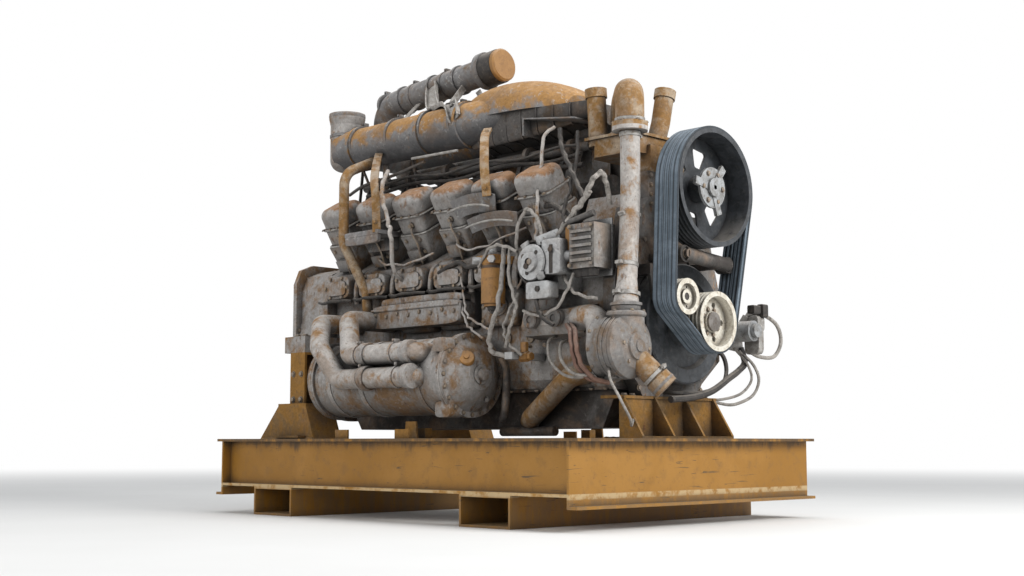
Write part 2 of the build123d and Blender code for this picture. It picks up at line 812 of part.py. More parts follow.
def coolant_pipe():
    """The long downpipe, leaning back to the pump's neck, with a flared foot."""
    x, y, top = coolant_pipe_x, coolant_pipe_y, coolant_joint_height
    low = (x + coolant_pipe_lean, pump_y + 6, pump_height + pump_radius + 40)
    kink = (x, y, top - coolant_taper)
    body = bent_tube([(x, y, top), kink, low], 900, coolant_pipe_radius)
    run = (Vector(*low) - Vector(*kink)).normalized()
    flare_top, flare_low = Vector(*low) - run * 120, Vector(*low)
    flare = loft([Plane(origin=flare_top, z_dir=run) * Circle(coolant_pipe_radius),
                  Plane(origin=flare_low, z_dir=run) * Circle(coolant_pipe_radius + 14)])
    return body + flare + rod((x, y, top - 20), (x, y, top), top_elbow_radius + 16)


def water_pump():
    """The volute on the timing case: a drum, its back flange, domed neck and outlet scroll."""
    z, r, x, y = pump_height, pump_radius, front_face_x, pump_y
    face = x + pump_depth
    body = turned([(x, 0), (x, pump_flange_radius), (x + running_gap, pump_flange_radius),
                   (x + 24, r), (face - 30, r), (face, r - 46), (face + 12, 60), (face + 12, 0)],
                  y, z)
    neck = (coolant_pipe_x + coolant_pipe_lean, y + 6, z)
    top = (neck[0], neck[1], z + r + 40)
    body += rod(neck, top, coolant_pipe_radius + 20)
    body += rod(neck, (neck[0], neck[1], z + r + 14), pump_collar)
    scroll = [(-60, -r), (150, -r + 30), (150, -r + 120), (-60, 60)]
    body += yz_prism([(y + out, z + up) for out, up in scroll], (x + 20, x + 90))
    back_y = side_elbow_y - 12
    return body + rod((x - 100, back_y, z - 10), (x + 10, back_y, z - 10), side_elbow_radius + 12)


def pump_outlet():
    """A short fat capped pipe that leaves the volute forwards, down and inwards."""
    start = Vector(front_face_x + pump_depth - 60, pump_y + 5, pump_height - 10)
    end = start + pump_outlet_run
    run = pump_outlet_run.normalized()
    body = rod(tuple(start), tuple(end), pump_outlet_radius)
    return body + rod(tuple(end - run * 62), tuple(end), pump_outlet_radius + 6)


def side_casting():
    """The coolant casting beside the two front cylinders, its elbow turning down to the pump."""
    deep, tall, y = side_casting_depth, side_casting_height, -crankcase_half_width
    middle = crank_height + side_casting_rise
    outline = [(0, -tall / 2), (-deep * 0.8, -tall * 0.42), (-deep, -tall * 0.12),
               (-deep * 0.86, tall * 0.34), (0, tall / 2)]
    rear, front = front_face_x - side_casting_setback - 75, block_front_x - 90
    body = yz_prism([(y + dy, middle + dz) for dy, dz in outline], (rear, front))
    path = [(front - 30, side_elbow_y + 40, middle), (front + 20, side_elbow_y, middle),
            (block_front_x + 35, side_elbow_y, middle),
            (block_front_x + 35, side_elbow_y - 12, pump_height)]
    body += bent_tube(path, [60, 64], side_elbow_radius)
    for share in (0.22, 0.62):
        x = rear + share * (front - rear)
        body += rod((x, y - 60, middle + 8), (x, y - deep - 26, middle + 8), 40)
    return body


# Near side: cooler, pipes and fuel parts

def oil_cooler():
    """A drum with bolted domed bonnets at both ends."""
    rear, front, r = cooler_rear_x, cooler_front_x, cooler_radius
    dome, wide, shell = cooler_dome, cooler_flange, cooler_radius - cooler_shell_step
    profile = [(rear - dome, 0), (rear - dome, r * 0.36), (rear - dome * 0.6, r * 0.62),
               (rear, r - 26), (rear, r), (rear + wide, r), (rear + wide, shell),
               (front - wide, shell), (front - wide, r), (front, r), (front, r - 26),
               (front + dome * 0.6, r * 0.62), (front + dome, r * 0.36), (front + dome, 0)]
    return turned(profile, cooler_y, cooler_height)


def cooler_brackets():
    """Saddles that carry the drum off the crankcase side."""
    parts = []
    for x in (cooler_rear_x + 180, cooler_front_x - 200):
        parts.append(solid_box((x - 45, x + 45), (cooler_y, -crankcase_half_width),
                               (cooler_height + 20, cooler_height + 130)))
    return parts


def pipe_place(rise):
    """The (y, z) of a pipe that lies along the drum's outer side, at a height on the drum."""
    reach = cooler_radius - cooler_shell_step + cooler_pipe_radius + cooler_pipe_gap
    return cooler_y - math.sqrt(reach ** 2 - rise ** 2), cooler_height + rise


def cooler_pipes():
    """Two pipes along the drum: one turns up into the crankcase, one to the bell housing."""
    front = cooler_front_x - 190
    y, z = pipe_place(upper_pipe_rise)
    leaves, high = cooler_rear_x + 380, cooler_height + 320
    enters = cooler_rear_x + upper_pipe_entry
    upper = bent_tube([(front, cooler_y, z), (front, y, z), (leaves, y, z),
                       (enters, cooler_y - 80, high), (enters, -crankcase_half_width + 20, high)],
                      [60, 75, 60], cooler_pipe_radius)
    y, z = pipe_place(lower_pipe_rise)
    leaves, rises = cooler_rear_x + 320, cooler_rear_x + 160
    lower = bent_tube([(front, cooler_y, z), (front, y, z), (leaves, y, z),
                       (rises, y - 4, z + 173), (cooler_rear_x - 40, cooler_y - 90, z + 320),
                       (cooler_rear_x - 100, -crankcase_half_width + 20, z + 332)],
                      [75, 75, 75, 75], cooler_pipe_radius)
    return [upper, lower]


def sump_pipe():
    """The slanting pipe from the crankcase side down to the sump."""
    side, x, low = -crankcase_half_width, deck_front_x + 100, pan_rail - pan_depth
    return bent_tube([(x - 20, side + 10, pan_rail + 62), (x - 58, side - 70, pan_rail + 50),
                      (x - 400, side + 15, low + 50), (x - 470, -pan_half_width + 20, low + 35)],
                     [60, 60], sump_pipe_radius)


def fuel_filter():
    """A canister under its head casting, on an arm from the block."""
    x, y, top = filter_x, filter_y, crank_height + filter_top_rise
    low = top - filter_length
    body = rod((x, y, low), (x, y, top), filter_radius)
    body += rod((x, y, low - 14), (x, y, low), filter_radius - 14)
    return body + solid_box((x - 55, x + 75), (y - 62, -crankcase_half_width), (top, top + 42))


def fuel_pump():
    """The round-faced pump on its foot beside the second cylinder."""
    x, z, r, face = fuel_pump_x, crank_height + fuel_pump_rise, fuel_pump_radius, fuel_pump_front
    body = rod((x, -crankcase_half_width - 30, z), (x, face, z), r)
    body += rod((x, face, z), (x, face - 27, z), r * 0.75)
    return body + solid_box((x - r, x + r), (face + 45, -crankcase_half_width),
                            (z - r - 25, z - r * 0.5))


def control_unit():
    """The finned controller box at the front corner."""
    front, back = front_face_x - 10, control_box_back
    low, face = crank_height + control_box_rise, control_box_back - control_box_depth
    high = low + control_box_height
    body = solid_box((front - control_box_length, front), (face, back), (low, high))
    pitch = (high - low - 2 * 20) / control_fins
    for i in range(control_fins):
        z = low + 20 + (i + 0.3) * pitch
        body += solid_box((front - control_box_length + 15, front - 15), (face - 15, face),
                          (z, z + 14))
    return body


def drain_pipe():
    """The thin pipe from the duct down between the two rear covers to the crankcase."""
    x, y, low = rear_cylinder_x + cylinder_pitch / 2, drain_y, duct_height - duct_radius
    end_x, end_z = x + drain_lean, crank_height + drain_rise
    side = -crankcase_half_width
    return bent_tube([(x, -duct_y - 20, low + 30), (x, y, low - 90), (x, y, gear_case_top + 60),
                      (end_x - 7, (side + y) / 2 - 25, end_z + 125),
                      (end_x, (side + y) / 2 - 22, end_z + 8), (end_x, side + 15, end_z)],
                     [110, 110, 60, 40], drain_radius)


# Belts and pulleys

def pulley_centres():
    """The (y, z, radius) of the three pulleys, in order round the belt."""
    return ((0.0, fan_pulley_height, fan_pulley_radius), (idler_y, idler_height, idler_radius),
            (0.0, crank_height, drive_pulley_radius))


def groove_points(radius):
    """The grooved outer profile of a rim, as (x, radius) points from rear to front."""
    slack = belt_gap + groove_slack
    top, tip = (belt_pitch - belt_land) / 2 + slack, belt_rib_tip / 2 + slack
    points = [(rim_rear_x, radius)]
    for i in range(belt_count):
        x = belt_rear_x + (i + 0.5) * belt_pitch
        points += [(x - top, radius), (x - tip, radius - groove_depth),
                   (x + tip, radius - groove_depth), (x + top, radius)]
    return points + [(rim_front_x, radius)]


def grooved_rim(radius, y, z):
    inner = radius - groove_depth - rim_wall
    points = groove_points(radius) + [(rim_front_x, inner), (rim_rear_x, inner)]
    return turned(points, y, z)


def belt_loop(x, grow):
    """The closed loop round the three pulleys at one x, a distance out from their lands."""
    circles = pulley_centres()
    normals = []
    for i, (y, z, r) in enumerate(circles):
        next_y, next_z, next_r = circles[(i + 1) % len(circles)]
        apart = math.hypot(next_y - y, next_z - z)
        course = math.atan2(next_z - z, next_y - y)
        normals.append(course - math.acos((r - next_r) / apart))
    loop = []
    for i, (y, z, r) in enumerate(circles):
        reach = r + belt_gap + grow
        start, end = normals[i - 1], normals[i]
        turn = (end - start) % (2 * math.pi)
        arc = [(x, y + reach * math.cos(start + turn * share),
                z + reach * math.sin(start + turn * share)) for share in (0.0, 0.5, 1.0)]
        if loop:
            loop.append(Line(loop[-1] @ 1, arc[0]))
        loop.append(ThreePointArc(*arc))
    loop.append(Line(loop[-1] @ 1, loop[0] @ 0))
    return make_face(loop)


def drive_belt():
    """One banded belt with a rib for each groove, as two stepped loops, one cut from the other."""
    top, tip, back = (belt_pitch - belt_land) / 2, belt_rib_tip / 2, belt_back_thickness
    inside = [(belt_rear_x - 1, 0)]
    outside = [(belt_rear_x, back)]
    for i in range(belt_count):
        x = belt_rear_x + (i + 0.5) * belt_pitch
        inside += [(x - top, 0), (x - tip, -belt_rib_depth), (x + tip, -belt_rib_depth), (x + top, 0)]
        if i:
            seam = belt_rear_x + i * belt_pitch
            outside += [(seam - belt_seam_half, back), (seam, back - belt_seam_depth),
                        (seam + belt_seam_half, back)]
    inside.append((belt_front_x + 1, 0))
    outside.append((belt_front_x, back))
    solid, hollow = [loft([belt_loop(x, grow) for x, grow in steps], ruled=True)
                     for steps in (outside, inside)]
    return solid - hollow


def window(inner, outer, angle, count):
    """One rounded opening in a web, at an angle, as a face in the YZ plane."""
    half = 360 / count / 2 - 15
    corners = []
    for r, a in ((inner, -half * 0.8), (outer, -half), (outer, half), (inner, half * 0.8)):
        turn = math.radians(angle + a)
        corners.append((0, r * math.cos(turn), r * math.sin(turn)))
    face = make_face(Polyline(*corners, close=True))
    return fillet(face.vertices(), 14)


def fan_pulley():
    """The deep black pulley: grooved rim, pierced rear web and a long hub."""
    radius, z = fan_pulley_radius, fan_pulley_height
    inner = radius - groove_depth - rim_wall
    body = grooved_rim(radius, 0, z)
    body += turned([(fan_web_x, 0), (fan_web_x, inner + 1), (fan_web_x + fan_web_thickness, inner + 1),
                    (fan_web_x + fan_web_thickness, 0)], 0, z)
    body += rod((fan_web_x, 0, z), (fan_hub_x, 0, z), fan_hub_radius)
    for i in range(fan_web_windows):
        angle = 20 + i * 360 / fan_web_windows
        face = window(fan_hub_radius + 52, inner - 54, angle, fan_web_windows)
        body -= Pos(fan_web_x - 1, 0, z) * extrude(face, amount=fan_web_thickness + 2, dir=(1, 0, 0))
    return body - rod((fan_web_x - 1, 0, z), (fan_hub_x + 1, 0, z),
                      fan_spindle_radius + shaft_clearance)


def fan_hub():
    """The bright hub plate on the front of the fan pulley's hub, with three short arms."""
    x, z = fan_hub_x, fan_pulley_height
    body = rod((x, 0, z), (x + 14, 0, z), fan_plate_radius)
    body += rod((x + 14, 0, z), (x + 30, 0, z), 44)
    for i in range(3):
        arm = Box(18, fan_arm_width, fan_arm_reach, align=(Align.MIN, Align.CENTER, Align.MIN))
        body += Pos(x, 0, z) * Rot(80 + i * 120, 0, 0) * arm
    return body


def fan_bracket():
    """The tower on the timing case with the fan pulley's spindle."""
    half, z = tower_half_width, fan_pulley_height
    body = yz_prism([(-half - 40, tower_bottom), (half + 40, tower_bottom),
                     (half, tower_bottom + 60), (half, tower_top), (-half, tower_top),
                     (-half, tower_bottom + 60)], (block_front_x, front_face_x))
    end = rim_rear_x - running_gap
    body += turned([(front_face_x, 0), (front_face_x, fan_boss_radius),
                    (front_face_x + 60, fan_boss_nose), (end, fan_boss_nose), (end, 0)], 0, z)
    return body + rod((front_face_x, 0, z), (fan_hub_x - 4, 0, z), fan_spindle_radius)


def dished_pulley(radius, y, z, web_x, bore):
    """A pale pulley: grooved rim, set-back web with a ring of holes, and a hub."""
    inner = radius - groove_depth - rim_wall
    t = pulley_web_thickness
    hub, hub_front = bore + 16, web_x + t + 14
    body = grooved_rim(radius, y, z)
    body += turned([(web_x, 0), (web_x, inner + 1), (web_x + t, inner + 1), (web_x + t, 0)], y, z)
    body += rod((rim_rear_x, y, z), (hub_front, y, z), hub)
    for i in range(pulley_holes):
        turn = math.radians(i * 360 / pulley_holes)
        ring = (hub + inner) / 2
        hy, hz = y + ring * math.cos(turn), z + ring * math.sin(turn)
        body -= rod((web_x - 1, hy, hz), (web_x + t + 1, hy, hz), (inner - hub) * 0.2)
    return body - rod((rim_rear_x - 1, y, z), (hub_front + 1, y, z), bore + shaft_clearance)


def drive_pulley():
    return dished_pulley(drive_pulley_radius, 0, crank_height, drive_web_x, crank_nose_radius)


def idler_pulley():
    return dished_pulley(idler_radius, idler_y, idler_height, idler_web_x, idler_pin_radius)


def crankshaft():
    """The shaft from the flywheel's face to the pulley nose, with a nose bolt."""
    z = crank_height
    rear = housing_rear_x + flywheel_recess + flywheel_thickness
    nose = drive_web_x + pulley_web_thickness + 14
    body = rod((rear, 0, z), (damper_front_x, 0, z), shaft_radius)
    body += rod((damper_front_x, 0, z), (nose, 0, z), crank_nose_radius)
    body += rod((damper_front_x, 0, z), (rim_rear_x, 0, z), crank_nose_radius + 24)
    return body + rod((nose, 0, z), (nose + 12, 0, z), nose_bolt_radius)


def crank_damper():
    """The heavy ring on the crank's nose, with a thinner web inside."""
    rear, front, r = damper_rear_x, damper_front_x, damper_radius
    bore = shaft_radius + shaft_clearance
    profile = [(rear, bore), (rear, r), (front - 8, r), (front, r - 8), (front, r - 70),
               (front - 26, r - 82), (front - 26, bore + 50), (front, bore + 40), (front, bore)]
    return turned(profile, 0, crank_height)


def flywheel():
    """The disc inside the bell, its face just inside the pilot."""
    rear, r = housing_rear_x + flywheel_recess, flywheel_radius
    front = rear + flywheel_thickness
    return turned([(rear, 0), (rear, r - 14), (rear + 14, r), (front, r), (front, 0)],
                  0, crank_height)


def idler_bracket():
    """An arm off the timing case past the damper, a cheek plate and the idler's pin."""
    y, z, half = bracket_arm[0], crank_height + bracket_arm[1], bracket_arm_half
    cheek = damper_front_x + running_gap
    cheek_front = cheek + bracket_plate
    body = solid_box((front_face_x, cheek_front), (y - half, y + half), (z - half, z + half))
    body += yz_prism([(y - half, z + half), (y + half, z + half), (idler_y + 42, idler_height),
                      (idler_y, idler_height - 42), (idler_y - 42, idler_height),
                      (y - half, z - half)], (cheek, cheek_front))
    body += rod((cheek, idler_y, idler_height), (rim_rear_x - running_gap, idler_y, idler_height), 30)
    pin_end = idler_web_x + pulley_web_thickness + 12
    return body + rod((cheek, idler_y, idler_height), (pin_end, idler_y, idler_height),
                      idler_pin_radius)


def belt_tensioner():
    """The dark strut inside the belt loop, on two lugs from the timing case."""
    x = (belt_rear_x + belt_front_x) / 2
    left = (x, tensioner_left[0], crank_height + tensioner_left[1])
    right = (x, tensioner_right[0], crank_height + tensioner_right[1])
    body = rod(left, right, tensioner_radius)
    body += rod((x - 30, left[1], left[2]), (x + 30, left[1], left[2]), 20)
    for y, z in ((left[1] + 18, left[2]), (right[1] - 18, right[2])):
        body += solid_box((front_face_x, x), (y - 14, y + 14), (z - 16, z + 16))
    return body


def front_sensor_unit():
    """The small drum on a bracket at the far front corner."""
    x, y, z = front_face_x, front_case_half_width, crank_height
    axis_y, axis_z = y + 90, z - 10
    body = solid_box((x - 60, x + 40), (y, y + 40), (z - 40, z + 90))
    body += solid_box((x, x + 40), (y, y + 110), (z - 30, z + 10))
    end = x + 20 + sensor_length
    body += rod((x + 20, axis_y, axis_z), (end, axis_y, axis_z), sensor_radius)
    return body + rod((end, axis_y, axis_z), (end + 25, axis_y, axis_z), sensor_radius - 18)


def cut_all(parts, *tools):
    """Each solid with its seats cut by what it stands on."""
    parts = parts if isinstance(parts, list) else [parts]
    cut = []
    for part in parts:
        for tool in tools:
            part = part - tool
        cut += sorted(part.solids(), key=lambda solid: -solid.volume)[:1]
    return cut


def write_node(name, parts):
    """One file for a node, moved so that the overall box is centred on the origin."""
    parts = parts if isinstance(parts, list) else [parts]
    place = Pos(-overall_middle_x, 0, 0)
    solids = [place * solid for part in parts for solid in part.solids()]
    shape = solids[0] if len(solids) == 1 else Compound(children=solids)
    shape.label = name
    export_step(shape, "parts/" + name + ".step")


def build():
    os.makedirs("parts", exist_ok=True)
    sides = {"left": -1, "right": 1}
    block = engine_block()
    case = front_housing()
    bell = flywheel_housing()
    cups = [inlet_cup(side) for side in sides.values()]
    trough, plenum = charge_air_box(), air_plenum()
    ducts = cut_all([air_duct(side) for side in sides.values()], *cups, trough, plenum)
    crossover = cut_all(rear_crossover(), *ducts, *cups)
    all_heads = heads(-1) + heads(1)
    log = cut_all(exhaust_manifold(), *all_heads)
    cooler = oil_cooler()
    downpipe = coolant_pipe()
    pump = cut_all(water_pump(), downpipe, case)
    top_casting = thermostat_housing()
    banks = [block] + heads(-1)
    pan, doors = oil_pan(), crankcase_doors()
    tubes = (skid_rear_x + fork_tube_rear_inset, skid_front_x - fork_tube_front_inset)
    nodes = {
        "side_beams": [side_beam(side) for side in sides.values()],
        "end_beams": [end_beam(skid_front_x, -1), end_beam(skid_rear_x, 1)],
        "cross_beams": cross_beams(),
        "fork_tubes": [fork_tube(x) for x in tubes],
        "front_support": front_support(),
        "rear_supports": [rear_support(side) for side in sides.values()],
        "engine_block": block,
        "oil_pan": pan,
        "front_housing": case,
        "flywheel_housing": bell,
        "crankcase_doors": doors,
        "inlet_cups": cups,
        "air_ducts": ducts,
        "rear_crossover": crossover,
        "exhaust_manifold": log,
        "exhaust_pipe": cut_all(exhaust_pipe(), *crossover),
        "exhaust_cap": exhaust_cap(),
        "charge_air_box": trough,
        "air_plenum": plenum,
        "plenum_brackets": cut_all([plenum_bracket(side) for side in sides.values()], trough),
        "pedestals": cut_all(pedestals(), block, *log, trough, *ducts),
        "thermostat_housing": top_casting,
        "outlet_stubs": cut_all(outlet_stubs(), top_casting),
        "top_elbow": top_elbow(),
        "coolant_pipe": downpipe,
        "water_pump": pump,
        "pump_outlet": cut_all(pump_outlet(), *pump),
        "oil_cooler": cooler,
        "cooler_brackets": cut_all(cooler_brackets(), cooler),
        "cooler_pipes": cut_all(cooler_pipes(), cooler, block, bell, *doors),
        "sump_pipe": cut_all(sump_pipe(), block, pan),
        "side_casting": cut_all(side_casting(), block, *pump),
        "fuel_filter": cut_all(fuel_filter(), *banks),
        "fuel_pump": cut_all(fuel_pump(), *banks),
        "control_unit": cut_all(control_unit(), case, *banks),
        "drain_pipe": cut_all(drain_pipe(), block, *ducts, *doors),
        "fan_bracket": fan_bracket(),
        "idler_bracket": cut_all(idler_bracket(), case),
        "belt_tensioner": cut_all(belt_tensioner(), case),
        "front_sensor_unit": front_sensor_unit(),
        "drive_belt": drive_belt(),
        "fan_pulley": fan_pulley(),
        "fan_hub": fan_hub(),
        "idler_pulley": idler_pulley(),
        "drive_pulley": drive_pulley(),
        "crank_damper": crank_damper(),
        "crankshaft": crankshaft(),
        "flywheel": flywheel(),
    }
    for word, side in sides.items():
        nodes["cylinder_heads_" + word] = heads(side)
        nodes["valve_covers_" + word] = valve_covers(side)
    for name, shape in nodes.items():
        write_node(name, shape)


build()
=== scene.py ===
import bpy, math
import numpy as np
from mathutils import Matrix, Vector


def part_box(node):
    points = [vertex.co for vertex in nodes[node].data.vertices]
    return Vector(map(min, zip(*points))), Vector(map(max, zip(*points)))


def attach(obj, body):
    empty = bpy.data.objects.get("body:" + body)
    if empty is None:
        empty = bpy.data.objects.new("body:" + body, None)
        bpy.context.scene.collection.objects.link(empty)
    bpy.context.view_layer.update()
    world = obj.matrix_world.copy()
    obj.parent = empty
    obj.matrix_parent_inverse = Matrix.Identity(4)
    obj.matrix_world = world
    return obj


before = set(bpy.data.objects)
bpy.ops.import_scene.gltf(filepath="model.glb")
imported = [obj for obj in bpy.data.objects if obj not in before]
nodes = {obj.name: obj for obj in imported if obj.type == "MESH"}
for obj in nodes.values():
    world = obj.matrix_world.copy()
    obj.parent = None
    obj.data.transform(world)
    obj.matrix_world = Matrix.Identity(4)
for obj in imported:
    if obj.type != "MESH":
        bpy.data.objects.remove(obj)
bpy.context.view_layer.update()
print("frame loaded", len(nodes), "nodes")

# where the photograph was taken from, aimed at the middle of the engine with a longer lens
viewpoint = {"eye": (5.39, -5.42, 0.384), "aim": (0.1, -0.08, 1.2), "lens": 50.0, "reach": 200.0}


def turnedTo(place, aim):
    return (Vector(aim) - Vector(place)).to_track_quat("-Z", "Y").to_euler()


def placed(name, data):
    made = bpy.data.objects.new(name, data)
    bpy.context.scene.collection.objects.link(made)
    return made


def placeCamera(setup):
    data = bpy.data.cameras.new("photoCamera")
    data.lens = setup["lens"]
    data.clip_end = setup["reach"]
    camera = placed("photoCamera", data)
    camera.location = setup["eye"]
    camera.rotation_euler = turnedTo(setup["eye"], setup["aim"])
    bpy.context.scene.camera = camera


placeCamera(viewpoint)
bpy.context.scene.view_settings.view_transform = "Standard"


def linear(hexColour):
    # sRGB hex to linear: c / 12.92 when dark, else ((c + 0.055) / 1.055) ^ 2.4
    channels = [int(hexColour[i:i + 2], 16) / 255 for i in (1, 3, 5)]
    return tuple(c / 12.92 if c <= 0.04045 else ((c + 0.055) / 1.055) ** 2.4 for c in channels) + (1.0,)


def addNode(tree, kind, settings=None, inputs=None):
    # kind is the shader node's name; an input that is a socket is linked, anything else is set as its value
    made = tree.nodes.new("ShaderNode" + kind)
    for key, value in (settings or {}).items():
        setattr(made, key, value)
    for key, value in (inputs or {}).items():
        if isinstance(value, bpy.types.NodeSocket):
            tree.links.new(value, made.inputs[key])
        else:
            made.inputs[key].default_value = value
    return made


def blank(name):
    # a material with an empty tree, that tree, and its socket for the place on the object
    material = bpy.data.materials.new(name)
    material.use_nodes = True
    tree = material.node_tree
    tree.nodes.clear()
    return material, tree, addNode(tree, "TexCoord").outputs["Object"]


def mixColour(tree, share, first, second, way="MIX"):
    return addNode(tree, "Mix", {"data_type": "RGBA", "blend_type": way},
                   {0: share, 6: first, 7: second}).outputs[2]


def coat(tree, share, colour, hexColour):
    return mixColour(tree, share, colour, linear(hexColour))


def ramp(tree, value, low, high, top=1.0):
    return addNode(tree, "MapRange", {"interpolation_type": "SMOOTHSTEP"},
                   {"Value": value, "From Min": low, "From Max": high, "To Max": top}).outputs[0]


def sums(tree, way, first, second):
    return addNode(tree, "Math", {"operation": way}, {0: first, 1: second}).outputs[0]


def times(tree, first, second):
    return sums(tree, "MULTIPLY", first, second)


def together(tree, first, share, second, rest):
    # share * first + rest * second
    return sums(tree, "ADD", times(tree, first, share), times(tree, second, rest))


def noise(tree, coords, size, detail=5.0, rough=0.6, bend=0.0):
    # size is the width of one patch in millimetres
    return addNode(tree, "TexNoise", None, {"Vector": coords, "Scale": 1000.0 / size,
                   "Detail": detail, "Roughness": rough, "Distortion": bend}).outputs[0]


def stretched(tree, coords, scale):
    return addNode(tree, "Mapping", None, {"Vector": coords, "Scale": scale}).outputs[0]


def finishShader(material, tree, colour, rough, metal, bump, depth, strength):
    normal = addNode(tree, "Bump", None, {"Height": bump, "Distance": depth, "Strength": strength})
    shader = addNode(tree, "BsdfPrincipled", None, {"Base Color": colour, "Roughness": rough,
                     "Metallic": metal, "Normal": normal.outputs[0]})
    addNode(tree, "OutputMaterial", None, {"Surface": shader.outputs[0]})
    return material


def facingUp(tree):
    shape = addNode(tree, "NewGeometry").outputs["Normal"]
    return addNode(tree, "SeparateXYZ", None, {0: shape}).outputs[2]


def hollowShadeAndDirt(tree, reach, low, high, top=1.0):
    # ambient occlusion as a mask: the darkening it drives is painted shade in hollows and between parts, mixed with
    # dirt
    lit = addNode(tree, "AmbientOcclusion", {"samples": 8}, {"Distance": reach}).outputs["AO"]
    return ramp(tree, lit, low, high, top)


def varied(tree, colour, value, low, high):
    # colour * tone, with the tone between low and high as the pattern goes from 0.3 to 0.7
    tone = addNode(tree, "MapRange", None, {"Value": value, "From Min": 0.3, "From Max": 0.7,
                   "To Min": low, "To Max": high}).outputs[0]
    grey = addNode(tree, "CombineColor", None, {0: tone, 1: tone, 2: tone}).outputs[0]
    return mixColour(tree, 1.0, colour, grey, "MULTIPLY")


def weathered(name, look):
    # paint left in patches on pale dust, with rust blotches, run stains, painted shade on undersides and painted
    # shade mixed with grime in hollows
    material, tree, coords = blank(name)
    broad = noise(tree, coords, look["patch"], 7, 0.66, 0.5)
    middle = noise(tree, coords, 70, 7, 0.68, 0.3)
    mottle = noise(tree, coords, 17, 5, 0.62)
    grain = noise(tree, coords, 3.2, 3, 0.6)
    runs = noise(tree, stretched(tree, coords, (1.0, 1.0, 0.16)), 42, 6, 0.64, 0.2)
    up = facingUp(tree)
    patches = together(tree, broad, 0.6, middle, 0.4)
    lifted = sums(tree, "SUBTRACT", patches, times(tree, up, look["topPaint"]))
    at = 0.62 - 0.24 * look["dustShare"]
    colour = coat(tree, ramp(tree, lifted, at - 0.055, at + 0.065), linear(look["paint"]), look["dust"])
    flaked = ramp(tree, noise(tree, coords, 30, 6, 0.72, 0.6), 0.57, 0.63, look["flakeShare"])
    colour = coat(tree, flaked, colour, look["flake"])
    rustAt = 0.66 - 0.2 * look["rustShare"]
    blotch = together(tree, runs, 0.55, middle, 0.45)
    rustColour = coat(tree, ramp(tree, mottle, 0.4, 0.62), linear(look["rust"]), look["rustPale"])
    colour = mixColour(tree, ramp(tree, blotch, rustAt, rustAt + 0.09, 0.9), colour, rustColour)
    wash = ramp(tree, noise(tree, coords, 190, 6, 0.62, 0.8), 0.47, 0.68, look["washShare"])
    colour = coat(tree, wash, colour, look["wash"])
    for pattern, low, high in ((mottle, 0.78, 1.12), (middle, 0.76, 1.16), (broad, 0.8, 1.14)):
        colour = varied(tree, colour, pattern, low, high)
    settled = times(tree, ramp(tree, up, 0.35, 0.95, look["settled"]), ramp(tree, middle, 0.4, 0.6))
    colour = coat(tree, settled, colour, look["settledDust"])
    # painted shade: faces turned downwards are darkened, where shade falls under things
    shadedBelow = times(tree, ramp(tree, up, 0.05, -0.75, look["underShare"]), ramp(tree, patches, 0.3, 0.54))
    colour = coat(tree, shadedBelow, colour, look["under"])
    # painted shade mixed with grime: hollows found by ambient occlusion are darkened
    shadeAndGrime = times(tree, hollowShadeAndDirt(tree, look["reach"], 0.9, 0.3), ramp(tree, middle, 0.2, 0.46))
    colour = coat(tree, times(tree, shadeAndGrime, look["shadeAndGrimeShare"]), colour, look["grimeAndShade"])
    spots = ramp(tree, noise(tree, coords, 15, 4, 0.7), 0.59, 0.67, look["spotShare"])
    colour = coat(tree, spots, colour, look["grimeAndShade"])
    return finishShader(material, tree, colour, look["rough"], 0.0, together(tree, mottle, 0.8, grain, 0.2),
                        0.004, look["relief"])
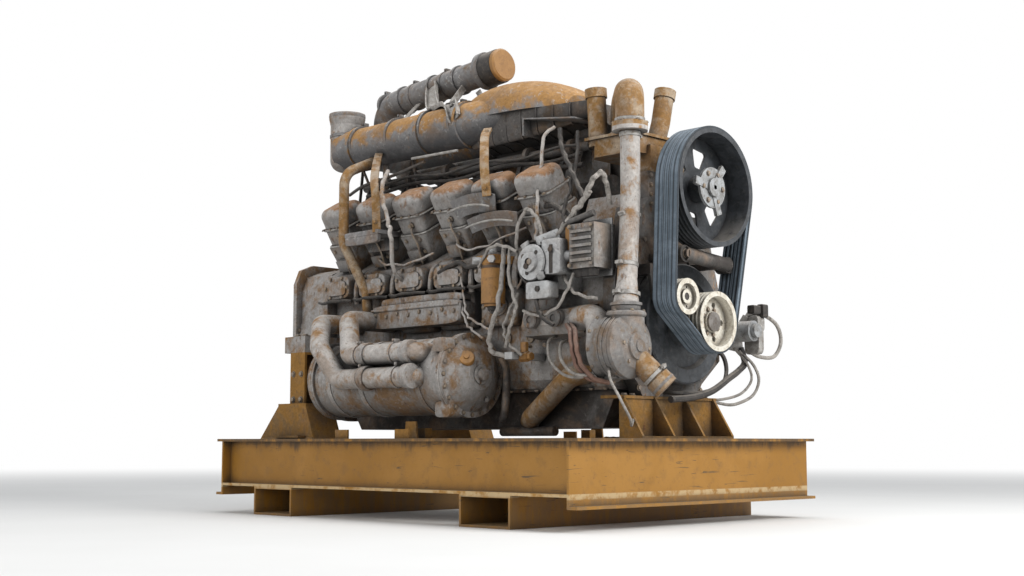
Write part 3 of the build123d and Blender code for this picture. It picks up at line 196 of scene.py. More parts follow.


# the undersides' colour is painted shade on faces turned downwards, and the grime colour is painted shade mixed with
# grime in the hollows, also used for real dirt spots
wornCoat = {"dust": "#A19D99", "flake": "#C4C1BC", "rust": "#5E4533", "rustPale": "#8F6F50", "settledDust": "#B6B0A8",
            "grimeAndShade": "#1C1A19", "under": "#4C4A48", "wash": "#84694F", "patch": 260, "reach": 0.13, "rough": 0.85,
            "relief": 0.6, "topPaint": 0.0, "flakeShare": 0.45, "washShare": 0.55, "settled": 0.4,
            "underShare": 0.5, "shadeAndGrimeShare": 0.95, "spotShare": 0.35}
wornLooks = {
    # sand-cast iron in engine enamel: dusted grey, brown with rust, the ochre coat left in patches
    "castIronDusty": {"paint": "#967450", "dustShare": 0.7, "rustShare": 0.62},
    # the same iron made darker on the front case, partly for oil mist that holds dark dust and partly as painted
    # shade
    "castIronOilyShaded": {"paint": "#5F4E3D", "dust": "#716E6B", "flake": "#8E8A86", "dustShare": 0.7, "rustShare": 0.5,
                     "settled": 0.3},
    # pump casting, greyer and wetter than the block
    "pumpIron": {"paint": "#86725E", "dust": "#85827F", "flake": "#A8A49F", "dustShare": 0.78, "rustShare": 0.5,
                 "patch": 120},
    # die-cast controller box under brown dust
    "dustyController": {"paint": "#8A847C", "dust": "#8F8B87", "dustShare": 0.6, "rustShare": 0.5, "patch": 90,
                        "settled": 0.3, "rough": 0.7},
    # the covers' tops, where the sun has burned the coat to a rusty orange
    "coverIron": {"paint": "#A07650", "dustShare": 0.84, "rustShare": 0.56, "topPaint": 0.18, "patch": 150,
                  "settled": 0.15, "dust": "#A5A19D"},
    # alkyd enamel over steel plate, ochre where it faces the sky and dark grey below as painted shade
    "enamelOchre": {"paint": "#AC8048", "dustShare": 0.62, "rustShare": 0.34, "topPaint": 0.16, "dust": "#7C7A79",
                    "settled": 0.12, "underShare": 0.9, "under": "#3F3F41", "shadeAndGrimeShare": 0.8, "spotShare": 0.4},
    # the same enamel on pipes and caps, rubbed but still whole
    "enamelCap": {"paint": "#98713F", "dust": "#A2907A", "flake": "#BCA98E", "dustShare": 0.46, "rustShare": 0.42,
                  "settled": 0.3, "shadeAndGrimeShare": 0.85, "spotShare": 0.5, "patch": 110},
    # painted steel tube: ochre film flaked off to a pale dusty primer in long patches
    "pipeEnamel": {"paint": "#A88053", "dust": "#B7B1AB", "flake": "#D2CDC7", "dustShare": 0.74, "rustShare": 0.5,
                   "patch": 120, "settled": 0.3, "shadeAndGrimeShare": 0.8},
    # heat-browned exhaust tube under grey ash
    "exhaustSteel": {"paint": "#84705C", "dust": "#848281", "dustShare": 0.86, "rustShare": 0.52, "patch": 120,
                     "flakeShare": 0.6},
    # folded trough of the air box, painted almost black as the shade under the plenum
    "shadeDarkPlate": {"paint": "#5B4A38", "dust": "#5A5653", "flake": "#8B8680", "dustShare": 0.75, "rustShare": 0.3,
                   "settled": 0.2, "spotShare": 0.5},
    # ochre enamel on the supports' plates, rusting from its edges
    "supportEnamel": {"paint": "#9C702E", "dust": "#7B5F39", "flake": "#A67E45", "rust": "#5C3A20",
                      "rustPale": "#8C5A2C", "dustShare": 0.4, "rustShare": 0.42, "settled": 0.25, "shadeAndGrimeShare": 0.8,
                      "underShare": 0.3},
    # oily steel plate that dust sticks to, with painted shade near black in its hollows
    "oilySteel": {"paint": "#332C27", "dust": "#54514E", "flake": "#75706B", "dustShare": 0.4, "rustShare": 0.34,
                  "settledDust": "#857C72", "rough": 0.65},
    # weathered die-cast housings of pump and controller: pale, spotted with soot and rust
    "grimyAluminium": {"paint": "#C6C6C5", "dust": "#A3A2A1", "flake": "#E0DFDD", "rust": "#5A4432",
                       "rustPale": "#82694E", "dustShare": 0.5, "rustShare": 0.22, "settled": 0.2, "patch": 90,
                       "rough": 0.6, "spotShare": 0.5, "washShare": 0.2},
}
finishes = {name: weathered(name, {**wornCoat, **look}) for name, look in wornLooks.items()}
print("weathered finishes made")


def skidEnamel(look):
    # brushed alkyd enamel on rolled steel: painted shade mixed with grime under the upper flange, a painted highlight
    # along the lower flange, scratches along the length and rust coming through in spots
    material, tree, coords = blank("skidEnamel")
    height = addNode(tree, "SeparateXYZ", None, {0: coords}).outputs[2]
    broad = noise(tree, coords, 420, 6, 0.6, 0.4)
    middle = noise(tree, coords, 60, 6, 0.65)
    fine = noise(tree, coords, 9, 4, 0.6)
    drip = noise(tree, stretched(tree, coords, (1.0, 1.0, 0.2)), 55, 6, 0.7, 0.3)
    lengthways = stretched(tree, coords, (0.07, 0.07, 1.0))
    colour = coat(tree, ramp(tree, broad, 0.36, 0.64), linear(look["paint"]), look["faded"])
    colour = coat(tree, ramp(tree, middle, 0.48, 0.7, 0.5), colour, look["worn"])
    # painted shade mixed with grime: a darker band below the upper flange, where the flange's shadow falls
    level = sums(tree, "ADD", height, times(tree, sums(tree, "SUBTRACT", drip, 0.5), 0.2))
    colour = coat(tree, ramp(tree, level, look["shadeAndGrimeFrom"], look["shadeAndGrimeFrom"] + 0.055, 0.8), colour, look["grimeAndShade"])
    scrape = ramp(tree, noise(tree, lengthways, 12, 3, 0.5, 0.8), 0.645, 0.68, 0.85)
    colour = coat(tree, times(tree, scrape, ramp(tree, broad, 0.44, 0.54)), colour, look["scratch"])
    chips = times(tree, ramp(tree, fine, 0.63, 0.68, 0.75), ramp(tree, middle, 0.42, 0.6))
    colour = coat(tree, chips, colour, look["rust"])
    # painted highlight: a pale band along the lower flange, where its upper face catches the light
    lip = times(tree, ramp(tree, height, look["litEdgeTop"], look["litEdgeTop"] - 0.004),
                ramp(tree, height, look["litEdgeTop"] - 0.03, look["litEdgeTop"] - 0.022))
    colour = coat(tree, times(tree, lip, ramp(tree, middle, 0.36, 0.56, 0.7)), colour, look["lip"])
    low = times(tree, ramp(tree, height, look["lowTop"], look["lowTop"] - 0.03, 0.65), ramp(tree, drip, 0.36, 0.56))
    colour = coat(tree, low, colour, look["low"])
    top = times(tree, ramp(tree, facingUp(tree), 0.6, 0.95, 0.75), ramp(tree, middle, 0.3, 0.5))
    colour = coat(tree, top, colour, look["top"])
    # painted shade mixed with grime in the hollows
    colour = coat(tree, hollowShadeAndDirt(tree, 0.09, 0.82, 0.3, 0.85), colour, look["grimeAndShade"])
    return finishShader(material, tree, colour, 0.6, 0.0, together(tree, middle, 0.5, fine, 0.5), 0.002, 0.35)


finishes["skidEnamel"] = skidEnamel({"paint": "#95671A", "faded": "#A2732B", "worn": "#7E5B2A", "grimeAndShade": "#3A2F22",
                                     "rust": "#6B4322", "scratch": "#54422A", "lip": "#CDB68C", "low": "#7E6340",
                                     "top": "#7B6A50", "shadeAndGrimeFrom": 0.352, "litEdgeTop": 0.165, "lowTop": 0.155})


def plainFinish(name, look):
    # a single coat or bare surface with mottled tone, dust on what faces up and painted shade mixed with dirt in its
    # hollows
    material, tree, coords = blank(name)
    middle = noise(tree, coords, look["patch"], 6, 0.65, 0.3)
    colour = coat(tree, ramp(tree, middle, 0.38, 0.62), linear(look["colour"]), look["second"])
    stains = ramp(tree, noise(tree, coords, 24, 5, 0.7, 0.5), 0.54, 0.64, look["stainShare"])
    colour = coat(tree, stains, colour, look["stain"])
    dusty = times(tree, ramp(tree, facingUp(tree), 0.3, 0.95, look["settled"]), ramp(tree, middle, 0.3, 0.5))
    colour = coat(tree, dusty, colour, look["dust"])
    # painted shade mixed with dirt: the hollows are darkened
    colour = coat(tree, hollowShadeAndDirt(tree, look["reach"], 0.88, 0.25, 0.88), colour, look["shadeAndDirt"])
    fine = noise(tree, coords, look["grain"], 4, 0.6)
    return finishShader(material, tree, colour, look["rough"], look["metal"], fine, 0.002, look["relief"])


plainCoat = {"dust": "#A69D92", "patch": 45, "grain": 5, "reach": 0.05, "metal": 0.0, "relief": 0.3, "settled": 0.4,
             "stainShare": 0.5}
plainLooks = {
    # spheroidal-graphite pulley in baked black enamel: dust greys it, edges stay dark
    "blackEnamel": {"colour": "#26292C", "second": "#3A3D41", "stain": "#585654", "shadeAndDirt": "#0C0C0D", "rough": 0.5,
                    "settled": 0.35, "stainShare": 0.4},
    # cream primer on pressed and turned pulleys, chalky
    "creamEnamel": {"colour": "#D8D3C6", "second": "#C2BAAA", "stain": "#85745F", "shadeAndDirt": "#30271F", "rough": 0.6,
                    "settled": 0.2, "patch": 28, "stainShare": 0.6},
    # gravity-cast aluminium, bare: pale, dull and stained
    "castAluminium": {"colour": "#A3A5A6", "second": "#858482", "stain": "#56504A", "shadeAndDirt": "#1F1C1A", "rough": 0.48,
                      "metal": 0.35, "relief": 0.5, "stainShare": 0.65},
    # turned steel under a film of oil
    "turnedSteel": {"colour": "#8B8681", "second": "#716B65", "stain": "#54402E", "shadeAndDirt": "#1B1815", "rough": 0.42,
                    "metal": 0.7},
    # moulded polyethylene blanking cap, sun-faded orange
    "capPlastic": {"colour": "#98703F", "second": "#8D6637", "stain": "#755431", "shadeAndDirt": "#5C4022", "rough": 0.5,
                   "settled": 0.1, "stainShare": 0.45, "relief": 0.1},
    # spin-on filter can, ochre enamel over thin steel
    "filterEnamel": {"colour": "#A0733A", "second": "#8D6636", "stain": "#66492D", "shadeAndDirt": "#33241A", "rough": 0.55,
                     "settled": 0.3, "stainShare": 0.6, "patch": 60},
    # nitrile hose and loom sleeve, black gone brown with dust
    "hoseRubber": {"colour": "#262321", "second": "#38332F", "stain": "#5A5148", "shadeAndDirt": "#0E0C0B", "rough": 0.65},
    # heater hose, red-brown rubber dulled by heat
    "redHose": {"colour": "#6A4C40", "second": "#7F6153", "stain": "#4A3930", "shadeAndDirt": "#1D1613", "rough": 0.7,
                "settled": 0.35},
    # braided and taped wire, pale with dust
    "dustyLoom": {"colour": "#85807A", "second": "#A39D96", "stain": "#4A433C", "shadeAndDirt": "#241F1B", "rough": 0.85,
                  "patch": 30, "stainShare": 0.6},
    # zinc-plated fasteners and clips, dulled and rusting
    "dullZinc": {"colour": "#817870", "second": "#93826C", "stain": "#5E4029", "shadeAndDirt": "#1E1915", "rough": 0.6,
                 "metal": 0.25, "patch": 20, "stainShare": 0.6},
    # bare pale clamp bands and unpainted sheet steel
    "paleSteel": {"colour": "#A9A6A1", "second": "#86827D", "stain": "#65503C", "shadeAndDirt": "#2A2420", "rough": 0.55,
                  "metal": 0.2, "patch": 30, "stainShare": 0.55},
}
finishes.update({name: plainFinish(name, {**plainCoat, **look}) for name, look in plainLooks.items()})


def beltRubber(look):
    # carbon-filled rubber, blue-grey and chalked, with a dark line where two bands meet:
    # the distance to the nearest joint is pingpong(x - first, band / 2)
    material, tree, coords = blank("beltRubber")
    across = addNode(tree, "SeparateXYZ", None, {0: coords}).outputs[0]
    nearest = sums(tree, "PINGPONG", sums(tree, "SUBTRACT", across, look["first"]), look["band"] / 2)
    line = ramp(tree, nearest, look["line"], look["line"] * 0.35)
    middle = noise(tree, coords, 110, 6, 0.65, 0.3)
    fine = noise(tree, coords, 8, 4, 0.6)
    colour = coat(tree, ramp(tree, middle, 0.38, 0.62), linear(look["colour"]), look["chalked"])
    colour = varied(tree, colour, fine, 0.9, 1.08)
    colour = coat(tree, times(tree, line, 0.85), colour, look["joint"])
    # painted shade: the hollows are darkened with the joint colour
    colour = coat(tree, hollowShadeAndDirt(tree, 0.04, 0.85, 0.25, 0.85), colour, look["joint"])
    height = sums(tree, "SUBTRACT", times(tree, fine, 0.25), line)
    return finishShader(material, tree, colour, 0.7, 0.0, height, 0.003, 0.6)


finishes["beltRubber"] = beltRubber({"colour": "#535F69", "chalked": "#6B7782", "joint": "#171B1F", "first": 1.253,
                                     "band": 0.027, "line": 0.0034})
print("finishes ready", len(finishes))

nodeFinish = {
    "skidEnamel": ("side_beams", "end_beams", "cross_beams", "fork_tubes"),
    "supportEnamel": ("front_support", "rear_supports"),
    "castIronDusty": ("engine_block", "flywheel_housing", "crankcase_doors", "cylinder_heads_left",
                      "cylinder_heads_right", "inlet_cups", "pedestals", "oil_cooler", "cooler_brackets"),
    "pumpIron": ("water_pump",),
    "castIronOilyShaded": ("fan_bracket", "front_housing"),
    "dustyController": ("control_unit",),
    "coverIron": ("valve_covers_left", "valve_covers_right"),
    "enamelOchre": ("air_ducts", "air_plenum"),
    "enamelCap": ("thermostat_housing", "outlet_stubs", "top_elbow", "pump_outlet", "sump_pipe", "drain_pipe"),
    "pipeEnamel": ("coolant_pipe", "cooler_pipes", "side_casting"),
    "exhaustSteel": ("rear_crossover", "exhaust_pipe", "plenum_brackets"),
    "shadeDarkPlate": ("charge_air_box",),
    "oilySteel": ("oil_pan", "exhaust_manifold", "idler_bracket", "belt_tensioner"),
    "capPlastic": ("exhaust_cap",),
    "filterEnamel": ("fuel_filter",),
    "grimyAluminium": ("fuel_pump",),
    "castAluminium": ("front_sensor_unit", "fan_hub"),
    "beltRubber": ("drive_belt",),
    "blackEnamel": ("fan_pulley", "crank_damper"),
    "creamEnamel": ("idler_pulley", "drive_pulley"),
    "turnedSteel": ("crankshaft", "flywheel"),
}
for finish, names in nodeFinish.items():
    for name in names:
        for slot in nodes[name].material_slots:
            slot.material = finishes[finish]
print("CAD nodes painted")


# Shapes: each is a grid of points worked out as one array, and a part is (points, [faces])

def unit(vector):
    vector = np.asarray(vector, float)
    return vector / np.linalg.norm(vector, axis=-1, keepdims=True)


def course(points, count):
    # Catmull-Rom: p(t) = (2b + (c - a)t + (2a - 5b + 4c - d)t^2 + (3b - a - 3c + d)t^3) / 2
    p = np.asarray(points, float)
    p = np.vstack([2 * p[0] - p[1], p, 2 * p[-1] - p[-2]])
    t = np.linspace(0, len(p) - 3, count)
    i = np.minimum(t.astype(int), len(p) - 4)
    t = (t - i)[:, None]
    a, b, c, d = p[i], p[i + 1], p[i + 2], p[i + 3]
    return (2 * b + (c - a) * t + (2 * a - 5 * b + 4 * c - d) * t ** 2 + (3 * b - a - 3 * c + d) * t ** 3) / 2


def skin(rings):
    # quad (i, j) joins ring i to ring i + 1, and each end ring gets a flat face
    n, m = rings.shape[:2]
    grid = np.arange(n * m).reshape(n, m)
    over = np.roll(grid, -1, 1)
    quads = np.stack([grid[:-1], over[:-1], over[1:], grid[1:]], -1).reshape(-1, 4)
    return rings.reshape(-1, 3), [quads, grid[:1, ::-1], grid[-1:]]


def circle(radius, around=10):
    turn = np.linspace(0, 2 * np.pi, around, endpoint=False)
    return radius * np.stack([np.cos(turn), np.sin(turn)], 1)


def superellipse(turn, halfLength, halfWidth, bend):
    # |u / a|^n + |v / b|^n = 1
    c, s = np.cos(turn), np.sin(turn)
    return halfLength * np.sign(c) * np.abs(c) ** (2 / bend), halfWidth * np.sign(s) * np.abs(s) ** (2 / bend)


def rectangle(width, height):
    return np.array([(-0.5, -0.5), (0.5, -0.5), (0.5, 0.5), (-0.5, 0.5)]) * (width, height)


def swept(line, section, grow=1.0):
    # ring i = line[i] + grow[i] * (u * side + v * up), side = run x the direction the line uses least
    run = unit(np.gradient(line, axis=0))
    least = np.linalg.eigh(run.T @ run)[1][:, 0]
    side = unit(np.cross(run, least))
    up = np.cross(run, side)
    flat = section[None, :, :1] * side[:, None] + section[None, :, 1:] * up[:, None]
    return skin(line[:, None] + np.broadcast_to(grow, len(line))[:, None, None] * flat)


def laid(line, normals, section):
    # ring i = line[i] + u * (run x normal) + v * normal, for a strip that lies on a surface
    run, out = unit(np.gradient(line, axis=0)), unit(normals)
    across = unit(np.cross(run, out))
    return skin(line[:, None] + section[None, :, :1] * across[:, None] + section[None, :, 1:] * out[:, None])


def tube(points, radius, count=24, around=8, kink=0.0):
    # kink adds kink * (sin 1.3i, cos 0.9i, sin(0.7i + 2)), faded out at both ends
    line = course(points, count)
    i = np.arange(count)
    fade = np.sin(np.linspace(0, np.pi, count))[:, None]
    return swept(line + kink * fade * np.stack([np.sin(1.3 * i), np.cos(0.9 * i), np.sin(0.7 * i + 2)], 1),
                 circle(radius, around))


def castBox(centre, half, bend=5.0):
    # superellipse rings stacked along y and drawn in at both ends
    u, w = superellipse(np.linspace(0, 2 * np.pi, 36, endpoint=False), half[0], half[2], bend)
    depth = np.array([-1.0, -0.98, -0.84, 0.84, 0.98, 1.0])
    drawn = np.array([0.93, 0.975, 1.0, 1.0, 0.975, 0.93])
    return skin(np.asarray(centre, float) + drawn[:, None, None] * np.stack([u, 0 * u, w], 1)
                + depth[:, None, None] * np.array([0.0, half[1], 0.0]))


def bar(start, end, width, height=None):
    ends = np.array([start, end], float)
    return swept(ends, circle(width, 12) if height is None else rectangle(width, height))


def square(axis):
    axis = unit(axis)
    side = unit(np.cross(axis, np.eye(3)[np.argmin(np.abs(axis))]))
    return side, np.cross(axis, side), axis


def turned(profile, origin, axis, around=28):
    # (s, r) about the axis: origin + s * axis + r * (cos a * side + sin a * up)
    side, up, axis = square(axis)
    ring = circle(1.0, around)
    s, r = np.asarray(profile, float).T
    flat = ring[:, :1] * side + ring[:, 1:] * up
    return skin(np.asarray(origin, float) + s[:, None, None] * axis + r[:, None, None] * flat)


def plate(corners, thick):
    # an outline in space, given a thickness along its own normal
    p = np.asarray(corners, float)
    normal = unit(np.cross(p[1] - p[0], p[2] - p[1]))
    return skin(np.stack([p, p + thick * normal]))


def around(centre, axis, radius, count, start=0.0):
    side, up, axis = square(axis)
    turn = start + np.linspace(0, 2 * np.pi, count, endpoint=False)[:, None]
    return np.asarray(centre, float) + radius * (np.cos(turn) * side + np.sin(turn) * up)


def outward(part):
    # the volume under a fan of triangles is the sum of a . (b x c) / 6, negative when turned inside out
    points, faces = part
    volume = sum(np.einsum("ij,ij->i", points[f[:, 0]], np.cross(points[f[:, i]], points[f[:, i + 1]])).sum()
                 for f in faces for i in range(1, f.shape[1] - 1))
    return (points, faces) if volume > 0 else (points, [f[:, ::-1] for f in faces])


def bolts(places, axis, size, tall=0.75):
    # unit washer and hexagon head, copied: place + size * (u * side + v * up + w * axis)
    places = np.asarray(places, float)
    washer, head = circle(1.35, 10), circle(1.0, 6)
    rings = [(washer, -0.1), (washer, 0.2), (head, 0.2), (head, tall), (head * 0.8, tall + 0.1)]
    spots, faces, count = [], [], 0
    for group in (rings[:2], rings[2:]):
        part = outward(skin(np.stack([np.hstack([ring, np.full((len(ring), 1), w)]) for ring, w in group])))
        spots.append(part[0])
        faces += [f + count for f in part[1]]
        count += len(part[0])
    points = places[:, None] + size * np.vstack(spots) @ np.array(square(axis))
    step = np.arange(len(places))[:, None, None] * count
    return points.reshape(-1, 3), [(f[None] + step).reshape(-1, f.shape[1]) for f in faces]


def piece(name, parts, finish, body="engine", crease=35.0):
    points, faces, count = [], [], 0
    for part in map(outward, parts):
        points.append(part[0])
        faces += [corner for side in part[1] for corner in (side + count).tolist()]
        count += len(part[0])
    mesh = bpy.data.meshes.new(name)
    mesh.from_pydata(np.vstack(points).tolist(), [], faces)
    mesh.polygons.foreach_set("use_smooth", np.ones(len(mesh.polygons), bool))
    mesh.set_sharp_from_angle(angle=math.radians(crease))
    mesh.materials.append(finishes[finish])
    made = placed(name, mesh)
    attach(made, body)


def each(shape, rows, *extra):
    # one part for each row of a table
    return [shape(*row, *extra) for row in rows]


def corners(name):
    low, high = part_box(name)
    return np.array(low), np.array(high)


def middle(name):
    low, high = corners(name)
    return (low + high) / 2


# places that the frame gives, in metres
ahead, above, nearward = (1, 0, 0), (0, 0, 1), (0, -1, 0)
sides = {-1: "Near", 1: "Far"}
crank = middle("drive_pulley")
fan = middle("fan_pulley")
idler = middle("idler_pulley")
coverLow, coverHigh = corners("valve_covers_left")
coverHalf = 0.1135
cylinders = np.linspace(coverHigh[0] - coverHalf, coverLow[0] + coverHalf, 6)
bankTurn = math.radians(30.0)
bankRises = {"headTop": 0.68, "lip": 0.776}


def onBank(side, x, rise, out):
    # rise runs along the cylinder's axis from the crank, out square to it and away from the valley
    x, rise, out = np.broadcast_arrays(x, rise, out)
    return np.stack([x, side * (rise * np.sin(bankTurn) + out * np.cos(bankTurn)),
                     crank[2] + rise * np.cos(bankTurn) - out * np.sin(bankTurn)], -1)


bankAxis = {side: np.array([0.0, side * math.sin(bankTurn), math.cos(bankTurn)]) for side in sides}
bankOut = {side: np.array([0.0, side * math.cos(bankTurn), -math.sin(bankTurn)]) for side in sides}

# Covers and heads. A bead is (level, lift, half length, half width, bend, radius), the injector line's points
# are (along, rise, out), and the face bolts are (along, rise)
coverLook = {
    "beads": (("lip", 0.006, 0.114, 0.0995, 6.0, 0.0055), ("headTop", 0.004, 0.101, 0.108, 7.0, 0.006)),
    "lipBolts": (-0.094, -0.032, 0.032, 0.094), "lipOut": 0.09964, "lipLift": 0.01, "lipBolt": 0.0085,
    "faceBolts": ((-0.055, 0.655), (0.055, 0.655), (-0.055, 0.585), (0.055, 0.585)), "faceOut": 0.112,
    "faceBolt": 0.01, "lineRadius": 0.006,
    "line": ((0.02, 0.735, 0.098), (0.03, 0.7, 0.128), (0.05, 0.63, 0.138), (0.04, 0.55, 0.142), (0.03, 0.49, 0.136)),
    "nut": ((0, 0.016), (0.02, 0.016), (0.022, 0.011), (0.034, 0.011)), "nutAt": (0.02, 0.735, 0.085),
}


def roundedLoop(side, x, rise, halfLength, halfWidth, bend):
    # laid square to the cylinder's axis
    u, v = superellipse(np.linspace(0, 2 * np.pi, 41), halfLength, halfWidth, bend)
    return onBank(side, x + u, rise, v)


def dressHeads(side, look):
    beads, heads, pipes = [], [], []
    along, rise, out = np.array(look["line"]).T
    faceAlong, faceRise = np.array(look["faceBolts"]).T
    nutAlong, nutRise, nutOut = look["nutAt"]
    for x in cylinders:
        for level, lift, length, width, bend, radius in look["beads"]:
            loop = roundedLoop(side, x, bankRises[level] + lift, length, width, bend)
            beads.append(swept(loop, circle(radius, 6)))
        for edge in (-look["lipOut"], look["lipOut"]):
            spots = onBank(side, x + np.array(look["lipBolts"]), bankRises["lip"] + look["lipLift"], edge)
            heads.append(bolts(spots, bankAxis[side], look["lipBolt"]))
        face = onBank(side, x + faceAlong, faceRise, look["faceOut"])
        heads.append(bolts(face, bankOut[side], look["faceBolt"]))
        # the injector line and its nut, over the outer face
        pipes.append(tube(onBank(side, x + along, rise, out), look["lineRadius"], 20, 7))
        pipes.append(turned(look["nut"], onBank(side, x + nutAlong, nutRise, nutOut), bankOut[side], 6))
    piece("coverBeads" + sides[side], beads, "paleSteel")
    piece("headBolts" + sides[side], heads, "dullZinc")
    piece("injectorLines" + sides[side], pipes, "dullZinc")


for side in sides:
    dressHeads(side, coverLook)
print("heads dressed")

# Pipes and rails in the space between the covers and the ducts. A loom is (drop, out, radius)
railLook = {"front": 0.74, "rear": -1.02, "height": 1.865, "y": 0.165, "radius": 0.026, "branch": 0.034,
            "looms": ((0.055, 0.07, 0.011), (0.02, 0.1, 0.008), (0.095, 0.05, 0.014)), "sag": 0.014}


def dressValley(side, look):
    y = side * look["y"]
    rear, front, z = look["rear"], look["front"], look["height"]
    dark = [bar((rear, y, z), (front, y, z), look["radius"]),
            bar((rear + 0.3, y * 0.35, z + 0.045), (front, y * 0.35, z + 0.045), look["branch"])]
    for x in cylinders:
        # a branch bends down to each head's inner face, with a joint on the rail and a flat stay beside it
        foot = onBank(side, x + 0.03, 0.6, -0.1)
        dark.append(tube([(x - 0.05, y * 0.3, z + 0.05), (x - 0.01, y * 0.8, z - 0.01), foot + (0, 0, 0.16),
                          foot + (0, -side * 0.005, 0.04)], look["branch"], 22, 12))
        dark.append(turned([(-0.012, 0.05), (0.012, 0.05)], (x + 0.005, y, z), ahead, 14))
        dark.append(bar((x - 0.06, y, z - 0.02), (x - 0.06, y + side * 0.05, z - 0.15), 0.026, 0.007))
    # loom k hangs by sag * sin((9 + 2k)x + k)
    looms = []
    xs = np.linspace(rear + 0.1, front, 15)
    for k, (drop, out, radius) in enumerate(look["looms"]):
        sag = look["sag"] * np.sin(xs * (9.0 + 2 * k) + k)
        looms.append(tube(np.stack([xs, y + side * out + 0.4 * sag, z - drop + sag], 1), radius, 90, 7))
    piece("valleyPipes" + sides[side], dark, "castIronOilyShaded")
    piece("valleyLooms" + sides[side], looms, "hoseRubber")


for side in sides:
    dressValley(side, railLook)

# Struts, brackets and bands under and on the ducts. The exhaust pipe's middle is at pipeZ - fall * back / length.
# A box is (centre, half sizes, bend), a bar (start, end, width, height) or (start, end, radius), and a tube
# (points, radius, rings, points round)
ductLook = {
    "y": 0.25, "z": 2.0897, "radius": 0.118, "clampsX": (-0.93, -0.62, -0.34, -0.1),
    "pipeX": -0.165, "pipeZ": 2.448, "fall": 0.068, "length": 0.875, "lean": 0.078, "pipeRadius": 0.0765,
    "pipeClamps": (0.05, 0.33, 0.6, 0.86), "legs": (0.14, 0.52), "strutSection": (0.013, 0.044),
    "struts": (((-0.69, -0.345, 2.0), (-0.62, -0.42, 1.93), (-0.49, -0.545, 1.8), (-0.452, -0.566, 1.7),
                (-0.44, -0.566, 1.505)),
               ((0.177, -0.335, 2.008), (0.22, -0.4, 1.95), (0.345, -0.525, 1.82), (0.375, -0.552, 1.73),
                (0.392, -0.552, 1.6))),
    "strutBolts": ((-0.665, -0.372, 1.975), (-0.445, -0.574, 1.56), (0.2, -0.366, 1.985), (0.388, -0.56, 1.64)),
    "shelves": (((-0.562, -0.498, 1.508), (0.145, 0.078, 0.014), 8.0),
                ((-0.562, -0.562, 1.482), (0.138, 0.012, 0.032), 6.0),
                ((-0.562, -0.415, 1.47), (0.11, 0.022, 0.045), 8.0)),
    # sheet shelves: x, half width, y, z and depth
    "sheets": ((0.265, 0.15, -0.515, 1.585, 0.1), (0.39, 0.17, -0.505, 1.492, 0.075)),
    "sheetDrop": 0.022, "sheetTilt": math.radians(20.0), "sheetThick": 0.006, "sheetEdge": 0.0055,
    "lattice": (((-1.12, -0.2, 1.99), (-0.9, -0.2, 1.965), 0.02, 0.006),
                ((-1.008, -0.2, 1.98), (-1.05, -0.2, 1.66), 0.018, 0.006),
                ((-0.9, -0.2, 1.96), (-1.0, -0.21, 1.68), 0.01),
                ((-0.96, -0.24, 1.96), (-0.8, -0.26, 1.72), 0.008),
                ((-0.55, -0.22, 1.97), (-0.47, -0.22, 1.7), 0.009)),
    "latticeRod": (((-0.97, -0.33, 1.8), (-0.8, -0.36, 1.83), (-0.55, -0.35, 1.86), (-0.3, -0.35, 1.9)),
                   0.009, 30),
    "saddle": ((-0.545, -0.07, 2.412), (-0.46, -0.15, 2.32), (-0.36, -0.225, 2.212), (-0.22, -0.262, 2.212),
               (-0.1, -0.335, 2.176), (-0.03, -0.372, 2.09)),
    "saddleLift": ((0, -0.9, 0.4), (0, -0.8, 0.6), (0, -0.35, 0.95), (0, -0.12, 1), (0, -0.7, 0.7), (0, -1, 0.0)),
    "saddleWidth": 0.074, "saddleThick": 0.007, "flangeAt": 0.034, "flange": (0.006, 0.024),
    "saddleBolts": ((-0.21, -0.264, 2.217), (-0.29, -0.25, 2.213), (-0.1, -0.338, 2.18)),
    "rod": ((-0.393, -0.36, 1.928), (-0.03, -0.36, 1.921), 0.008),
}


def bandClamp(centre, axis, radius, width=0.018):
    # a strip round the pipe with its bolt block and bolt on one side
    lift = radius + 0.004
    strip = turned([(-width / 2, radius - 0.004), (-width / 2, lift), (width / 2, lift), (width / 2, radius - 0.004)],
                   centre, axis, 32)
    side, up, axis = square(axis)
    block = np.asarray(centre, float) + side * (lift + 0.008)
    return [strip, bar(block - up * 0.018, block + up * 0.018, 0.016, width),
            bolts([block + up * 0.018], up, 0.0055)]


